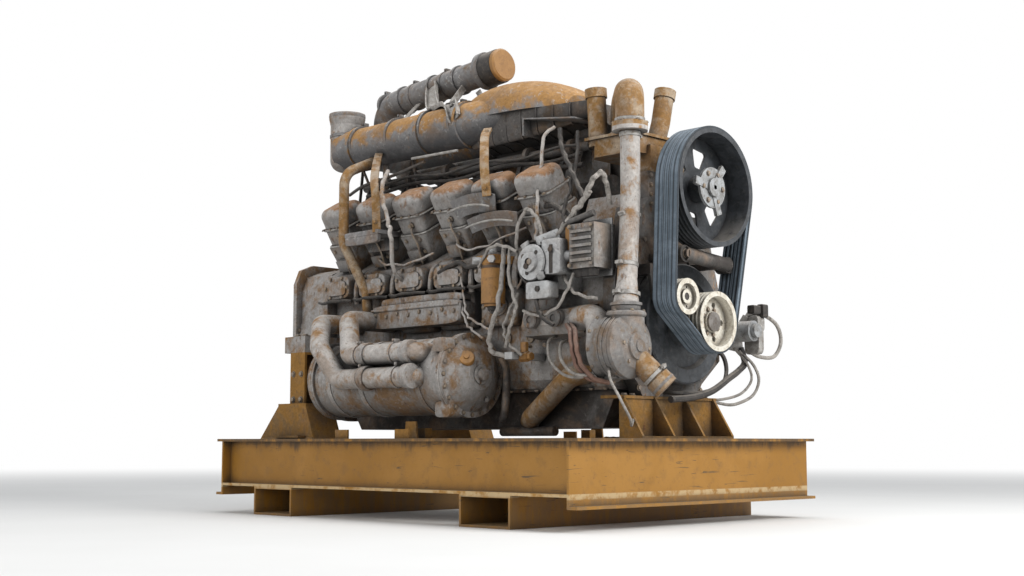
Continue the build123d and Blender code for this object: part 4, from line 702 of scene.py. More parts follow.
def dressDucts(look):
    def pipeHeight(back):
        return look["pipeZ"] - look["fall"] * (back / look["length"])

    bands = []
    for x in look["clampsX"]:
        for side in sides:
            bands += bandClamp((x, side * look["y"], look["z"]), ahead, look["radius"])
    for back in look["pipeClamps"]:
        bands += bandClamp((look["pipeX"] - back, 0, pipeHeight(back)), (1, 0, look["lean"]), look["pipeRadius"])
    # the two flat struts bend out from the ducts, pass in front of the covers and end in a foot on the heads
    struts = [swept(course(line, 30), rectangle(*look["strutSection"])) for line in look["struts"]]
    struts.append(bolts(look["strutBolts"], (0.2, -1, 0.2), 0.01))
    # sheet shelf: z = top - drop * (s / half)^2, its front edge rolled to a pale bead
    shelves, pale = each(castBox, look["shelves"]), []
    c, s = math.cos(look["sheetTilt"]), math.sin(look["sheetTilt"])
    for x, wide, y, z, deep in look["sheets"]:
        xs = np.linspace(x - wide, x + wide, 17)
        line = np.stack([xs, np.full(17, y), z - look["sheetDrop"] * ((xs - x) / wide) ** 2], 1)
        shelves.append(swept(line, rectangle(deep, look["sheetThick"]) @ np.array([[c, s], [-s, c]])))
        pale.append(swept(line + (0, -deep * 0.5 * c, -deep * 0.5 * s), circle(look["sheetEdge"], 6)))
    lattice = each(bar, look["lattice"]) + [tube(*look["latticeRod"])]
    # the pale folded saddle between the exhaust pipe and the near duct, and the rod under the duct
    saddle, lift = course(look["saddle"], 30), course(look["saddleLift"], 30)
    pale.append(laid(saddle, lift, rectangle(look["saddleWidth"], look["saddleThick"])))
    for edge in (-look["flangeAt"], look["flangeAt"]):
        pale.append(laid(saddle, lift, rectangle(*look["flange"]) + (edge, look["flange"][1] / 2)))
    pale.append(bar(*look["rod"]))
    pale.append(bolts(look["saddleBolts"], (0, -0.35, 0.94), 0.011))
    # bracket legs that lift the exhaust pipe off the ducts
    for back in look["legs"]:
        x, low = look["pipeX"] - back, pipeHeight(back) - 0.078
        for side in sides:
            pale.append(bar((x, side * 0.055, low + 0.006), (x, side * 0.2, 2.19), 0.04, 0.007))
    piece("ductBands", bands, "exhaustSteel")
    piece("ductStruts", struts, "enamelCap")
    piece("ductShelves", shelves, "exhaustSteel")
    piece("ductLattice", lattice, "oilySteel")
    piece("airBoxBracket", pale, "paleSteel")


dressDucts(ductLook)
print("valley and ducts dressed")

# Crankcase side. Door bolts and follower bolts are (along, up) from the middle of the door or the cover, the
# drain elbow and the line are (along, out, z), and the gallery pipe is on the far side alone
crankcaseLook = {
    "doorZ": 1.068, "doorFace": 0.4,
    "doorBolts": ((-0.098, -0.074), (0, -0.074), (0.098, -0.074), (0.098, 0), (0.098, 0.074), (0, 0.074),
                  (-0.098, 0.074), (-0.098, 0)),
    "doorBead": (0.07, 0.048, 0.006), "coverZ": 1.243, "coverLean": 0.004,
    "coverBolts": ((-0.094, 0), (0.096, 0), (-0.05, 0.053), (0.05, 0.053), (-0.05, -0.053), (0.05, -0.053)),
    "elbow": ((0.154, 0.36, 1.33), (0.154, 0.415, 1.29), (0.15, 0.43, 1.22), (0.146, 0.42, 1.15)),
    "line": ((-0.16, 0.45, 1.175), (-0.08, 0.475, 1.165), (0.02, 0.472, 1.172), (0.13, 0.45, 1.166)),
    "galleryY": 0.425, "galleryZ": 1.172, "galleryRear": -1.0, "galleryFront": 0.74,
    "casting": (((-0.22, -0.432, 1.052), (0.352, 0.06, 0.064), 7.0),
                ((-0.2, -0.425, 1.128), (0.318, 0.044, 0.026), 5.0)),
    "castingPipe": ((-0.565, -0.49, 1.088), (0.125, -0.49, 1.088), 0.009),
    "plug": ((-0.01, 0.028), (0.006, 0.028), (0.006, 0.02), (0.002, 0.019)),
}


def dressCrankcase(look):
    studs, pipes, looms = [], [], []
    turn = np.linspace(0, 2 * np.pi, 33)
    boltAlong, boltUp = np.array(look["doorBolts"]).T
    wide, tall, bead = look["doorBead"]
    for side in sides:
        for x in cylinders[1:-2] if side < 0 else cylinders[:-1]:
            spots = np.stack([x + boltAlong, np.full(8, side * look["doorFace"]), look["doorZ"] + boltUp], 1)
            studs.append(bolts(spots, (0, side, 0), 0.01))
            rim = np.stack([x + wide * np.cos(turn), np.full(33, side * (look["doorFace"] + 0.002)),
                            look["doorZ"] + tall * np.sin(turn)], 1)
            pipes.append(swept(rim, circle(bead, 6)))
        # a cast follower cover under each head, with its bolts, drain elbow and the line beside it
        for k, x in enumerate(cylinders[1:] if side < 0 else cylinders):
            z = look["coverZ"] + look["coverLean"] * (-1) ** k
            pipes.append(castBox((x, side * 0.405, z), (0.112, 0.052, 0.064), 4.0))
            pipes.append(castBox((x + 0.01, side * 0.458, z - 0.005), (0.08, 0.01, 0.04), 5.0))
            studs.append(bolts([(x + u, side * 0.458, z + w) for u, w in look["coverBolts"]], (0, side, 0), 0.0095))
            pipes.append(tube(np.array(look["elbow"]) * (1, side, 1) + (x, 0, 0), 0.017, 18, 10))
            looms.append(tube(np.array(look["line"]) * (1, side, 1) + (x, 0, 0), 0.009, 20, 7, 0.003))
    # the gallery pipe over the far doors, with saddles and a union at every cylinder
    y, z = look["galleryY"], look["galleryZ"]
    pipes.append(bar((look["galleryRear"], y, z), (look["galleryFront"], y, z), 0.017))
    for x in cylinders[:-1] - 0.154:
        pipes.append(bar((x - 0.02, y - 0.06, z - 0.01), (x - 0.02, y + 0.022, z - 0.01), 0.034, 0.03))
        pipes.append(turned([(-0.022, 0.028), (0.022, 0.028)], (x + 0.05, y, z), ahead, 6))
        studs.append(bolts([(x - 0.02, y + 0.022, z - 0.01)], (0, 1, 0), 0.009))
    # the long two-step casting beside the near doors
    pipes += each(castBox, look["casting"]) + [bar(*look["castingPipe"])]
    studs.append(bolts([(x, -0.492, 1.065 - 0.012 * (k % 2)) for k, x in enumerate(np.linspace(-0.53, 0.09, 8))],
                       nearward, 0.0105))
    # core plugs of the near side over the cooler, and the bolts under the pan rail
    for x in np.linspace(-0.96, 0.48, 10):
        studs.append(turned(look["plug"], (x, -0.332, 0.905), nearward, 18))
    for x in np.linspace(-1.02, 0.96, 23):
        studs.append(bolts([(x, -0.318, 0.64), (x, 0.318, 0.64)], (0, 0, -1), 0.01))
    piece("crankcaseStuds", studs, "dullZinc")
    piece("galleryPipes", pipes, "castIronDusty")
    piece("crankcaseLooms", looms, "hoseRubber")


dressCrankcase(crankcaseLook)
print("crankcase dressed")

# Fuel pump, filter and controller. Rows of fittings are (profile, place, axis, points round), and those of the
# pump are placed from the middle of its face
pumpLook = {
    "faceX": 0.727, "faceZ": 1.236,
    "fittings": ((((0, 0.026), (0.035, 0.024), (0.037, 0.015)), (-0.04, 0.02, 0.07), (-0.3, -0.5, 0.8), 16),
                 (((0, 0.022), (0.03, 0.022), (0.032, 0.012)), (0.055, 0.01, -0.055), (0.4, -0.6, -0.5), 6)),
    "boss": ((0, 0.088), (0.01, 0.084), (0.012, 0.05), (0.026, 0.046), (0.028, 0.02), (0.018, 0.018)),
    "seal": ((-0.03, 0.1075), (-0.012, 0.1075), (-0.012, 0.1), (-0.03, 0.1)),
    "bars": (((0.02, 0.02, 0.1), (0.13, 0.06, 0.135), 0.045, 0.035), ((0.1, 0.03, 0.02), (0.19, 0.07, 0.02), 0.03)),
    "lever": ((0.12, 0.02, 0.075), (0.12, 0.02, -0.06), 0.02),
    "pin": ((-0.01, -0.028, -0.02), (-0.01, -0.034, -0.02), 0.014),
    "boxes": (((0.04, 0.03, -0.135), (0.075, 0.036, 0.042), 9.0), ((0.118, 0.05, 0.02), (0.06, 0.045, 0.085), 9.0)),
    # dark discs painted as the shade in holes: along, up and radius
    "holes": ((-0.045, 0.03, 0.013), (0.04, 0.045, 0.01), (-0.02, -0.05, 0.011), (0.045, -0.13, 0.014),
              (0.13, 0.05, 0.013)),
    "filterAt": (0.385, -0.5),
    "port": ((0, 0.02), (0.045, 0.02), (0.046, 0.012)),
    "sensor": ((0.905, -0.51, 1.395), (0.905, -0.51, 1.22), 0.018, 0.03),
    "elbow": ((((0, 0.026), (0.055, 0.026), (0.057, 0.02), (0.075, 0.02)), (0.575, -0.5, 0.796), ahead, 6),
              (((0, 0.02), (0.05, 0.02), (0.052, 0.014)), (0.6, -0.5, 0.815), above, 6)),
    "block": ((0.56, -0.57, 0.8), (0.56, -0.34, 0.8), 0.034, 0.05),
}
# the lines round them: (points, radius, rings, points round)
pumpLines = {
    "kink": 0.004, "railKink": 0.005,
    "conduits": (
        (((0.6, -0.545, 1.27), (0.606, -0.56, 1.38), (0.64, -0.56, 1.47), (0.69, -0.56, 1.497),
          (0.742, -0.56, 1.45), (0.778, -0.56, 1.365), (0.8, -0.55, 1.33)), 0.0086, 40, 9),
        (((0.52, -0.56, 1.335), (0.53, -0.58, 1.22), (0.52, -0.6, 1.05), (0.482, -0.62, 0.9),
          (0.48, -0.6, 0.822), (0.53, -0.56, 0.8)), 0.0117, 50, 10),
        (((0.34, -0.56, 1.25), (0.44, -0.575, 1.335), (0.53, -0.575, 1.335), (0.62, -0.57, 1.3)), 0.0078, 34, 8),
        (((0.56, -0.56, 1.33), (0.575, -0.58, 1.18), (0.64, -0.6, 1.03), (0.6, -0.6, 0.93),
          (0.55, -0.58, 0.84)), 0.0086, 44, 8),
        (((0.61, -0.55, 1.1), (0.58, -0.58, 1.02), (0.55, -0.59, 0.93), (0.56, -0.57, 0.86),
          (0.62, -0.54, 0.8)), 0.007, 40, 8),
        (((0.83, -0.53, 1.34), (0.9, -0.52, 1.42), (0.97, -0.5, 1.5), (1.03, -0.5, 1.555)), 0.0133, 34, 10),
        (((1.0, -0.5, 1.535), (1.045, -0.5, 1.6), (1.07, -0.47, 1.64), (1.06, -0.42, 1.6),
          (1.05, -0.38, 1.5)), 0.0125, 34, 10),
        (((0.86, -0.5, 1.18), (0.93, -0.53, 1.1), (1.0, -0.52, 1.06), (1.07, -0.5, 1.045)), 0.0078, 30, 8),
        (((0.95, -0.53, 1.17), (0.93, -0.56, 1.08), (0.86, -0.57, 1.0), (0.76, -0.58, 0.98),
          (0.66, -0.57, 1.01)), 0.007, 34, 8)),
    "hoses": (
        (((0.7, -0.35, 1.925), (0.74, -0.38, 1.83), (0.83, -0.43, 1.72), (0.92, -0.47, 1.61),
          (0.99, -0.5, 1.53)), 0.012, 40, 8),
        (((0.8, -0.33, 1.9), (0.84, -0.38, 1.76), (0.87, -0.46, 1.6), (0.88, -0.52, 1.47),
          (0.9, -0.53, 1.41)), 0.009, 40, 8),
        (((0.6, -0.36, 1.46), (0.7, -0.44, 1.53), (0.83, -0.48, 1.49), (0.93, -0.49, 1.43)), 0.014, 34, 8),
        (((0.735, -0.55, 1.13), (0.76, -0.58, 1.04), (0.8, -0.585, 0.97), (0.86, -0.57, 0.93)), 0.01, 28, 8),
        (((0.3, -0.46, 1.3), (0.2, -0.47, 1.27), (0.08, -0.47, 1.3), (-0.06, -0.46, 1.26)), 0.012, 30, 8)),
    "thin": (
        (((0.037, -0.455, 1.305), (0.045, -0.45, 1.178), (0.12, -0.47, 1.08), (0.194, -0.5, 0.98),
          (0.3, -0.55, 0.93), (0.406, -0.59, 0.889)), 0.0065, 50, 7),
        (((0.1, -0.455, 1.25), (0.13, -0.46, 1.12), (0.2, -0.5, 1.02), (0.33, -0.55, 0.97),
          (0.45, -0.59, 0.93)), 0.006, 44, 7),
        (((0.645, -0.33, 1.945), (0.641, -0.4, 1.885), (0.662, -0.45, 1.7), (0.69, -0.5, 1.55),
          (0.701, -0.52, 1.4), (0.705, -0.53, 1.34)), 0.009, 44, 8),
        (((-0.465, -0.47, 1.855), (-0.425, -0.54, 1.77), (-0.395, -0.566, 1.69), (-0.35, -0.566, 1.56),
          (-0.33, -0.56, 1.47), (-0.34, -0.53, 1.3), (-0.342, -0.45, 1.235)), 0.0115, 60, 9)),
    "rails": (
        (((0.02, -0.405, 1.43), (0.1, -0.46, 1.38), (0.25, -0.47, 1.36), (0.42, -0.46, 1.4),
          (0.55, -0.43, 1.44)), 0.006, 36, 7),
        (((-0.62, -0.4, 1.4), (-0.5, -0.46, 1.35), (-0.3, -0.47, 1.33), (-0.1, -0.46, 1.37)), 0.006, 36, 7),
        (((0.55, -0.46, 1.3), (0.6, -0.5, 1.24), (0.62, -0.53, 1.18), (0.6, -0.55, 1.12)), 0.006, 36, 7)),
}


def dressFuelSide(look, lines):
    filterLow, filterHigh = corners("fuel_filter")
    low, high = corners("control_unit")
    face = np.array([look["faceX"], corners("fuel_pump")[0][1] - 0.001, look["faceZ"]])
    # round face of the pump: sealing ring, raised boss, ports and bolts
    dark = [turned(look["seal"], face, nearward, 40)]
    pale = [turned(look["boss"], face, nearward, 40)]
    zinc = [bolts(around(face, nearward, 0.074, 8, 0.3), nearward, 0.0085),
            bolts([face + (0.012, -0.024, 0.0)], nearward, 0.014)]
    pale += [turned(profile, face + place, axis, count) for profile, place, axis, count in look["fittings"]]
    pale += [bar(face + start, face + end, *size) for start, end, *size in look["bars"]]
    pale += [castBox(face + place, half, bend) for place, half, bend in look["boxes"]]
    lever, pin = (bar(face + start, face + end, size) for start, end, size in (look["lever"], look["pin"]))
    # painted shade: dark discs stand in for the holes in the pump's face
    holes = [turned([(0.0, size), (0.004, size), (0.005, size * 0.6)], face + (u, -0.01, w), nearward, 14)
             for u, w, size in look["holes"]]
    dark += [lever, *holes, pin]
    # the controller: connector row, studs, a cover plate and its bracket
    black = [bar((x, low[1] + 0.05, low[2] + 0.008), (x, low[1] + 0.05, low[2] - 0.037), 0.03, 0.045)
             for x in low[0] + 0.035 + 0.042 * np.arange(3)]
    zinc.append(bolts([(x, low[1], z) for z in (low[2] + 0.014, high[2] - 0.014)
                       for x in (low[0] + 0.012, high[0] - 0.012)], nearward, 0.008))
    left, right, back = low[0] - 0.03, high[0] + 0.004, high[1] - 0.02
    pale.append(plate([(left, back, low[2] - 0.03), (right, back, low[2] - 0.03), (right, back, high[2] + 0.03),
                       (left, back, high[2] + 0.03)], 0.008))
    dark.append(bar((low[0] - 0.02, low[1] + 0.03, high[2] + 0.012), (high[0] - 0.03, low[1] + 0.05, high[2] + 0.05),
                    0.016))
    # filter: rim, head with its ports and the drain tap
    x, y = look["filterAt"]
    top = filterHigh[2]
    dark.append(turned([(0, 0.0635), (0.012, 0.0635)], (x, y, top - 0.062), above, 32))
    pale.append(turned([(0, 0.036), (0.02, 0.036), (0.022, 0.02), (0.045, 0.018)], (x, y, top - 0.002), above, 14))
    pale.append(turned(look["port"], (x - 0.03, y - 0.05, top - 0.025), (-0.6, -0.8, 0), 6))
    pale.append(turned(look["port"], (x + 0.05, y - 0.05, top - 0.025), (0.5, -0.85, 0), 6))
    black.append(turned([(0, 0.03), (-0.018, 0.026), (-0.02, 0.012), (-0.035, 0.012)], (x, y, filterLow[2]), above,
                        16))
    pale.append(bar(*look["block"]))
    piece("pumpDressing", pale, "grimyAluminium")
    piece("pumpSealsAndHoleShades", dark, "oilySteel")
    piece("pumpBolts", zinc, "dullZinc")
    piece("plugSockets", black, "hoseRubber")
    piece("orangeFittings", [bar(*look["sensor"])] + each(turned, look["elbow"]), "filterEnamel")
    piece("paleConduits", each(tube, lines["conduits"], lines["kink"]), "dustyLoom")
    piece("darkHoses", each(tube, lines["hoses"], lines["kink"]), "hoseRubber")
    piece("thinPipes", each(tube, lines["thin"], lines["kink"]) + each(tube, lines["rails"], lines["railKink"]),
          "pipeEnamel")


dressFuelSide(pumpLook, pumpLines)
print("fuel side dressed")

# Coolant circuit: joints, clamps, bolts and cast ridges. A clamp is (centre, axis, radius, width)
coolantLook = {
    "elbow": (0.912, -0.106), "pipe": (1.15, -0.35), "neck": (1.192, -0.439),
    "clamps": (((1.1515, -0.356, 1.44), (0.04, -0.085, -1), 0.0478, 0.016),
               ((1.186, -0.427, 1.06), (0.08, -0.155, -1), 0.06, 0.018),
               ((1.175, -0.407, 1.2), (0.08, -0.155, -1), 0.048, 0.018)),
    "pump": (1.095, -0.445, 0.82), "flange": 0.1565, "flangeTop": 0.95, "ridges": (0.05, 0.078, 0.104),
    "drum": ((-0.007, 0.14), (-0.004, 0.1515), (0.004, 0.1515), (0.007, 0.14)),
    "nose": ((0.16, 0.07), (0.18, 0.064), (0.184, 0.03), (0.19, 0.028)),
    "collars": (((0.955, 0.088), (0.962, 0.093), (0.972, 0.093), (0.98, 0.086)),
                ((1.004, 0.064), (1.008, 0.074), (1.02, 0.074), (1.024, 0.062))),
    "outlet": (1.195, -0.44, 0.81), "outletRun": (0.143, 0.108, -0.18), "outletLength": 0.2541,
    "outletRim": ((0, 0.0625), (0.004, 0.0645), (0.01, 0.0645), (0.014, 0.0625)),
    "plug": ((0, 0.043), (0.006, 0.044), (0.012, 0.038), (0.012, 0.018), (0.006, 0.016)), "plugsX": (0.626, 0.782),
    # the two heater hoses run side by side and meet at the pump
    "hose": ((0.9, -0.49, 0.935), (0.985, -0.56, 0.895), (1.035, -0.605, 0.82), (1.06, -0.6, 0.735),
             (1.1, -0.56, 0.675)),
    "hoseEnd": (1.14, -0.5, 0.655), "hoseRadius": 0.0115, "hoseApart": 0.03,
}


def dressCoolant(look):
    zinc, bands, ridges, hoses = [], [], [], []
    plateLow, plateHigh = corners("thermostat_housing")
    top = plateHigh[2]
    xs = np.linspace(plateLow[0] + 0.1, plateHigh[0] - 0.02, 4)
    for y in (plateLow[1] + 0.018, plateHigh[1] - 0.018):
        zinc.append(bolts(np.stack([xs, np.full(4, y), np.full(4, top)], 1), above, 0.01))
    zinc.append(bolts(around((*look["elbow"], top + 0.02), above, 0.07, 4, 0.6), above, 0.0095))
    joint = corners("coolant_pipe")[1][2]
    bands += bandClamp((*look["pipe"], joint + 0.03), above, 0.069, 0.02)
    bands += bandClamp((*look["pipe"], joint - 0.036), above, 0.0475, 0.02)
    zinc.append(bolts(around((*look["pipe"], joint + 0.022), above, 0.077, 6, 0.2), above, 0.009))
    for clamp in look["clamps"]:
        bands += bandClamp(*clamp)
    # pump: flange bolts, ridges round the drum, nose and collar bands
    centre = np.array(look["pump"])
    ring = around(centre + (0.006, 0, 0), ahead, look["flange"], 12, 0.1)
    zinc.append(bolts(ring[ring[:, 2] < look["flangeTop"]], ahead, 0.01))
    for s in look["ridges"]:
        ridges.append(turned(np.array(look["drum"]) + (s, 0), centre, ahead, 48))
    ridges.append(turned(look["nose"], centre, ahead, 32))
    zinc.append(bolts(around(centre + (0.16, 0, 0), ahead, 0.088, 6, 0.4), ahead, 0.01))
    for collar in look["collars"]:
        ridges.append(turned(collar, (*look["neck"], 0), above, 36))
    zinc.append(bolts(around((*look["neck"], 0.98), above, 0.078, 6), above, 0.009))
    # outlet: hose clamp, cap rim
    run, start, length = unit(look["outletRun"]), np.array(look["outlet"]), look["outletLength"]
    bands += bandClamp(start + run * (length - 0.078), run, 0.0565, 0.016)
    ridges.append(turned(look["outletRim"], start + run * (length - 0.03), run, 32))
    # side casting: flange bolts and plugs
    castLow, castHigh = corners("side_casting")
    zinc.append(bolts([(x, -0.355, castHigh[2] - 0.028) for x in (0.57, 0.67, 0.77, 0.87)], (0, -0.4, 1), 0.01))
    zinc.append(bolts([(x, -0.44, castLow[2] + 0.006) for x in (0.58, 0.68, 0.78, 0.88)], (0, -0.8, -1), 0.01))
    for x in look["plugsX"]:
        ridges.append(turned(look["plug"], (x, -0.484, 0.973), nearward, 24))
    for back in (0.0, look["hoseApart"]):
        line = np.vstack([np.array(look["hose"]) - (back, 0, 0), look["hoseEnd"]])
        hoses.append(tube(line, look["hoseRadius"], 40, 9, 0.002))
    piece("heaterHoses", hoses, "redHose")
    piece("coolantBolts", zinc, "dullZinc")
    piece("coolantBands", bands, "paleSteel")
    piece("pumpRidges", ridges, "pumpIron")


dressCoolant(coolantLook)

# Oil cooler: flange bolts, bands, plugs and fittings
coolerLook = {
    "y": -0.56, "z": 0.715, "front": 0.3, "rear": -0.76, "boltCircle": 0.1955, "flange": 0.022,
    "joint": ((-0.003, 0.2085), (-0.003, 0.2115), (0.003, 0.2115), (0.003, 0.2085)),
    "strip": ((-0.016, 0.194), (-0.016, 0.199), (0.016, 0.199), (0.016, 0.194)), "stripsX": (-0.6, -0.34, 0.1),
    "boss": ((-0.02, 0.05), (0.012, 0.048), (0.014, 0.03), (0.034, 0.03), (0.036, 0.022)),
    "seat": ((-0.05, 0.048), (0.006, 0.047), (0.01, 0.043)),
    "plug": ((0, 0.038), (0.04, 0.04), (0.046, 0.036), (0.046, 0.014), (0.052, 0.012)),
    "plugAt": (0.322, -0.62, 0.778), "plugRun": (0.62, -0.62, 0.48),
    "pads": (((0.255, -0.71, 0.86), (0.05, 0.03, 0.035), 4.0), ((0.245, -0.66, 0.545), (0.055, 0.05, 0.04), 4.0)),
    "drain": (((-0.03, 0.018), (0.012, 0.018), (0.014, 0.011), (0.026, 0.011)), (0.325, -0.5, 0.6),
              (1, -0.3, -0.3), 10),
    "upper": (-0.7847, 0.827), "lower": (-0.8117, 0.707), "clampsX": (-0.3, -0.02), "collarsX": (0.115, -0.21),
    "collar": ((-0.022, 0.06), (-0.018, 0.064), (0.018, 0.064), (0.022, 0.06)),
    "guard": (((0.395, -0.455, 0.8), (0.415, -0.44, 0.74), (0.415, -0.438, 0.64), (0.4, -0.437, 0.523),
               (0.37, -0.42, 0.5)), 0.02, 34, 12),
    "panBar": ((0.251, -0.3, 0.439), (0.618, -0.3, 0.439), 0.024),
}


def dressCooler(look):
    y, z, front, rear, flange = (look[key] for key in ("y", "z", "front", "rear", "flange"))
    zinc, bands, fittings = [], [], []
    for face, way in ((front, 1), (rear, -1)):
        zinc.append(bolts(around((face, y, z), (way, 0, 0), look["boltCircle"], 20), (way, 0, 0), 0.0095))
        bands.append(turned(look["joint"], (face - way * flange, y, z), ahead, 72))
    for x in look["stripsX"]:
        bands.append(turned(look["strip"], (x, y, z), ahead, 64))
    # raised boss on the front bonnet, and the yellow plug in its seat beside it
    fittings.append(turned(look["boss"], (front + 0.055, y, z), ahead, 24))
    fittings.append(turned(look["seat"], look["plugAt"], look["plugRun"], 24))
    fittings += each(castBox, look["pads"]) + [turned(*look["drain"])]
    # clamps and collars on the two pipes
    for x in look["clampsX"]:
        bands += bandClamp((x, *look["upper"]), ahead, 0.0525, 0.018)
        bands += bandClamp((x + 0.05, *look["lower"]), ahead, 0.0525, 0.018)
    for x in look["collarsX"]:
        fittings.append(turned(look["collar"], (x, *look["lower"]), ahead, 28))
        fittings.append(turned(look["collar"], (x - 0.03, *look["upper"]), ahead, 28))
    zinc.append(bolts([(x, -0.36, 0.842) for x in (-0.62, -0.54, 0.06, 0.14)], above, 0.01))
    piece("coolerBolts", zinc, "dullZinc")
    piece("coolerBands", bands, "pipeEnamel")
    piece("coolerFittings", fittings, "castIronDusty")
    piece("coolerPlug", [turned(look["plug"], look["plugAt"], look["plugRun"], 24)], "filterEnamel")
    piece("coolerGuard", [tube(*look["guard"]), bar(*look["panBar"])], "oilySteel")


dressCooler(coolerLook)
print("coolant and cooler dressed")

# Belt drive: bolts on the turning parts and the spindle nut. The belt's rear edge is at beltX, and a dish's
# floor is at beltX + beltWidth + web - depth
pulleyLook = {"beltX": 1.253, "beltWidth": 0.135, "web": 0.014, "driveDish": 0.062, "idlerDish": 0.034,
              "hubBolts": (0.074, 6, 0.5), "driveBolts": (0.062, 8, 0.3), "idlerBolts": (0.027, 4),
              "nut": ((0, 0.03), (0.006, 0.03), (0.008, 0.022), (0.018, 0.022), (0.02, 0.012))}


def dressPulleys(look):
    def ringOf(x, middle, ring, size):
        return bolts(around((x, *middle), ahead, *ring), ahead, size)

    hubFront = corners("fan_hub")[1][0]
    beltFront = look["beltX"] + look["beltWidth"] + look["web"]
    piece("fanHubBolts", [ringOf(hubFront - 0.016, (0, fan[2]), look["hubBolts"], 0.0105),
                          turned(look["nut"], (hubFront - 0.02, 0, fan[2]), ahead, 6)], "dullZinc", "fan")
    piece("drivePulleyBolts", [ringOf(beltFront - look["driveDish"], (0, crank[2]), look["driveBolts"], 0.0095)],
          "dullZinc", "crank")
    piece("idlerBolts", [ringOf(beltFront - look["idlerDish"] - 0.004, idler[1:], look["idlerBolts"], 0.006)],
          "dullZinc", "idler")


# Front case, tensioner eyes and the sensor unit with its leads
frontLook = {
    "caseX": 1.095, "eyes": ((-0.168, 1.262), (0.168, 1.236)), "eyeX": 1.3,
    "plate": ((1.1, 0.4, 1.0), (1.1, 0.58, 0.98), (1.1, 0.6, 0.84), (1.1, 0.4, 0.86)),
    "stay": ((1.105, 0.38, 0.93), (1.105, 0.5, 0.93), 0.05, 0.012),
    "port": (((0, 0.024), (0.04, 0.024), (0.042, 0.014), (0.06, 0.014)), (1.11, 0.585, 0.99), (0.5, 0.3, 0.9), 14),
    "paleBoxes": (((1.205, 0.545, 0.9), (0.045, 0.022, 0.075), 5.0),
                  ((1.19, 0.59, 0.985), (0.03, 0.03, 0.04), 4.0)),
    "darkBoxes": (((1.225, 0.52, 1.05), (0.022, 0.028, 0.022), 6.0),
                  ((1.215, 0.61, 1.05), (0.02, 0.022, 0.034), 6.0)),
    # the first three leads are at the sensor unit, the others loop down on the near side
    "leads": (
        (((1.14, 0.6, 1.03), (1.18, 0.66, 1.035), (1.21, 0.74, 0.985), (1.21, 0.775, 0.9), (1.19, 0.74, 0.825),
          (1.16, 0.66, 0.82), (1.14, 0.58, 0.85)), 0.01, 60, 9),
        (((1.1, 0.56, 0.85), (1.15, 0.61, 0.78), (1.17, 0.63, 0.7), (1.15, 0.6, 0.62), (1.11, 0.5, 0.575),
          (1.07, 0.43, 0.58), (1.055, 0.366, 0.597)), 0.008, 50, 8),
        (((1.1, 0.52, 0.86), (1.15, 0.56, 0.78), (1.16, 0.58, 0.7), (1.13, 0.53, 0.63), (1.08, 0.44, 0.6),
          (1.04, 0.366, 0.598)), 0.007, 44, 8),
        (((1.06, -0.38, 0.86), (1.13, -0.48, 0.79), (1.21, -0.58, 0.68), (1.27, -0.58, 0.58), (1.27, -0.51, 0.49),
          (1.21, -0.43, 0.46), (1.15, -0.345, 0.49)), 0.0065, 60, 7),
        (((0.8, -0.4, 0.87), (0.84, -0.5, 0.845), (0.92, -0.58, 0.76), (1.02, -0.6, 0.695), (1.09, -0.55, 0.7),
          (1.09, -0.46, 0.78), (1.06, -0.38, 0.88)), 0.008, 60, 8),
        (((0.72, -0.4, 0.89), (0.76, -0.5, 0.86), (0.84, -0.57, 0.76), (0.94, -0.57, 0.69), (1.03, -0.52, 0.69),
          (1.07, -0.45, 0.75), (1.06, -0.38, 0.83)), 0.007, 60, 8)),
    "hoses": (
        (((1.2, -0.129, 0.585), (1.2, 0.05, 0.6), (1.2, 0.2, 0.635), (1.18, 0.36, 0.7), (1.14, 0.5, 0.745),
          (1.12, 0.58, 0.79), (1.1, 0.575, 0.865)), 0.017, 66, 10),
        (((1.09, -0.05, 0.625), (1.15, -0.02, 0.618), (1.17, 0.12, 0.62), (1.17, 0.3, 0.66), (1.15, 0.38, 0.73),
          (1.13, 0.385, 0.81), (1.09, 0.35, 0.865)), 0.011, 60, 8)),
}


def dressFront(look):
    # bolts round the front case and the tower
    caseX, eyeX = look["caseX"], look["eyeX"]
    edge = [(0.375, z) for z in np.linspace(0.82, 1.12, 5)] + [(-0.375, 1.04), (-0.375, 1.12)]
    edge += [(side * (0.37 - 0.092 * k), 1.17 + 0.09 * k) for side in sides for k in range(1, 4)]
    edge += [(side * 0.235, z) for side in sides for z in (0.64, 0.7)]
    tower = [(caseX, side * 0.13, z) for side in sides for z in np.linspace(1.53, 1.67, 4)]
    zinc = [bolts([(caseX, y, z) for y, z in edge], ahead, 0.011), bolts(tower, ahead, 0.01)]
    zinc += [bolts([(eyeX + 0.03, y, z)], ahead, 0.018) for y, z in look["eyes"]]
    eyes = [turned([(-0.03, 0.04), (0.03, 0.04)], (eyeX, y, z), ahead, 22) for y, z in look["eyes"]]
    piece("frontCaseBolts", zinc, "dullZinc")
    piece("frontHoses", eyes + each(castBox, look["darkBoxes"]) + each(tube, look["hoses"]), "hoseRubber")
    piece("sensorBracket", [plate(look["plate"], 0.01), bar(*look["stay"]), turned(*look["port"])]
          + each(castBox, look["paleBoxes"]), "paleSteel")
    piece("frontLeads", each(tube, look["leads"]), "dustyLoom")


dressPulleys(pulleyLook)
dressFront(frontLook)
print("front end dressed")

# Supports and skid: bolts, weld beads, angle cleats on the deck. Welds are (x, x, y) on each side
skidLook = {"shelfBolts": (-0.31, -0.25, 0.25, 0.31), "postX": (-1.045, -0.975), "postY": 0.59,
            "postZ": (0.62, 0.76), "padY": (0.668, 0.74), "padX": (-1.13, -0.88), "lugsX": (-0.339, 0.126), "lugY": 0.86,
            "welds": ((-1.29, -0.82, 0.497), (-1.29, -0.82, 0.684)), "weldRadius": 0.006}


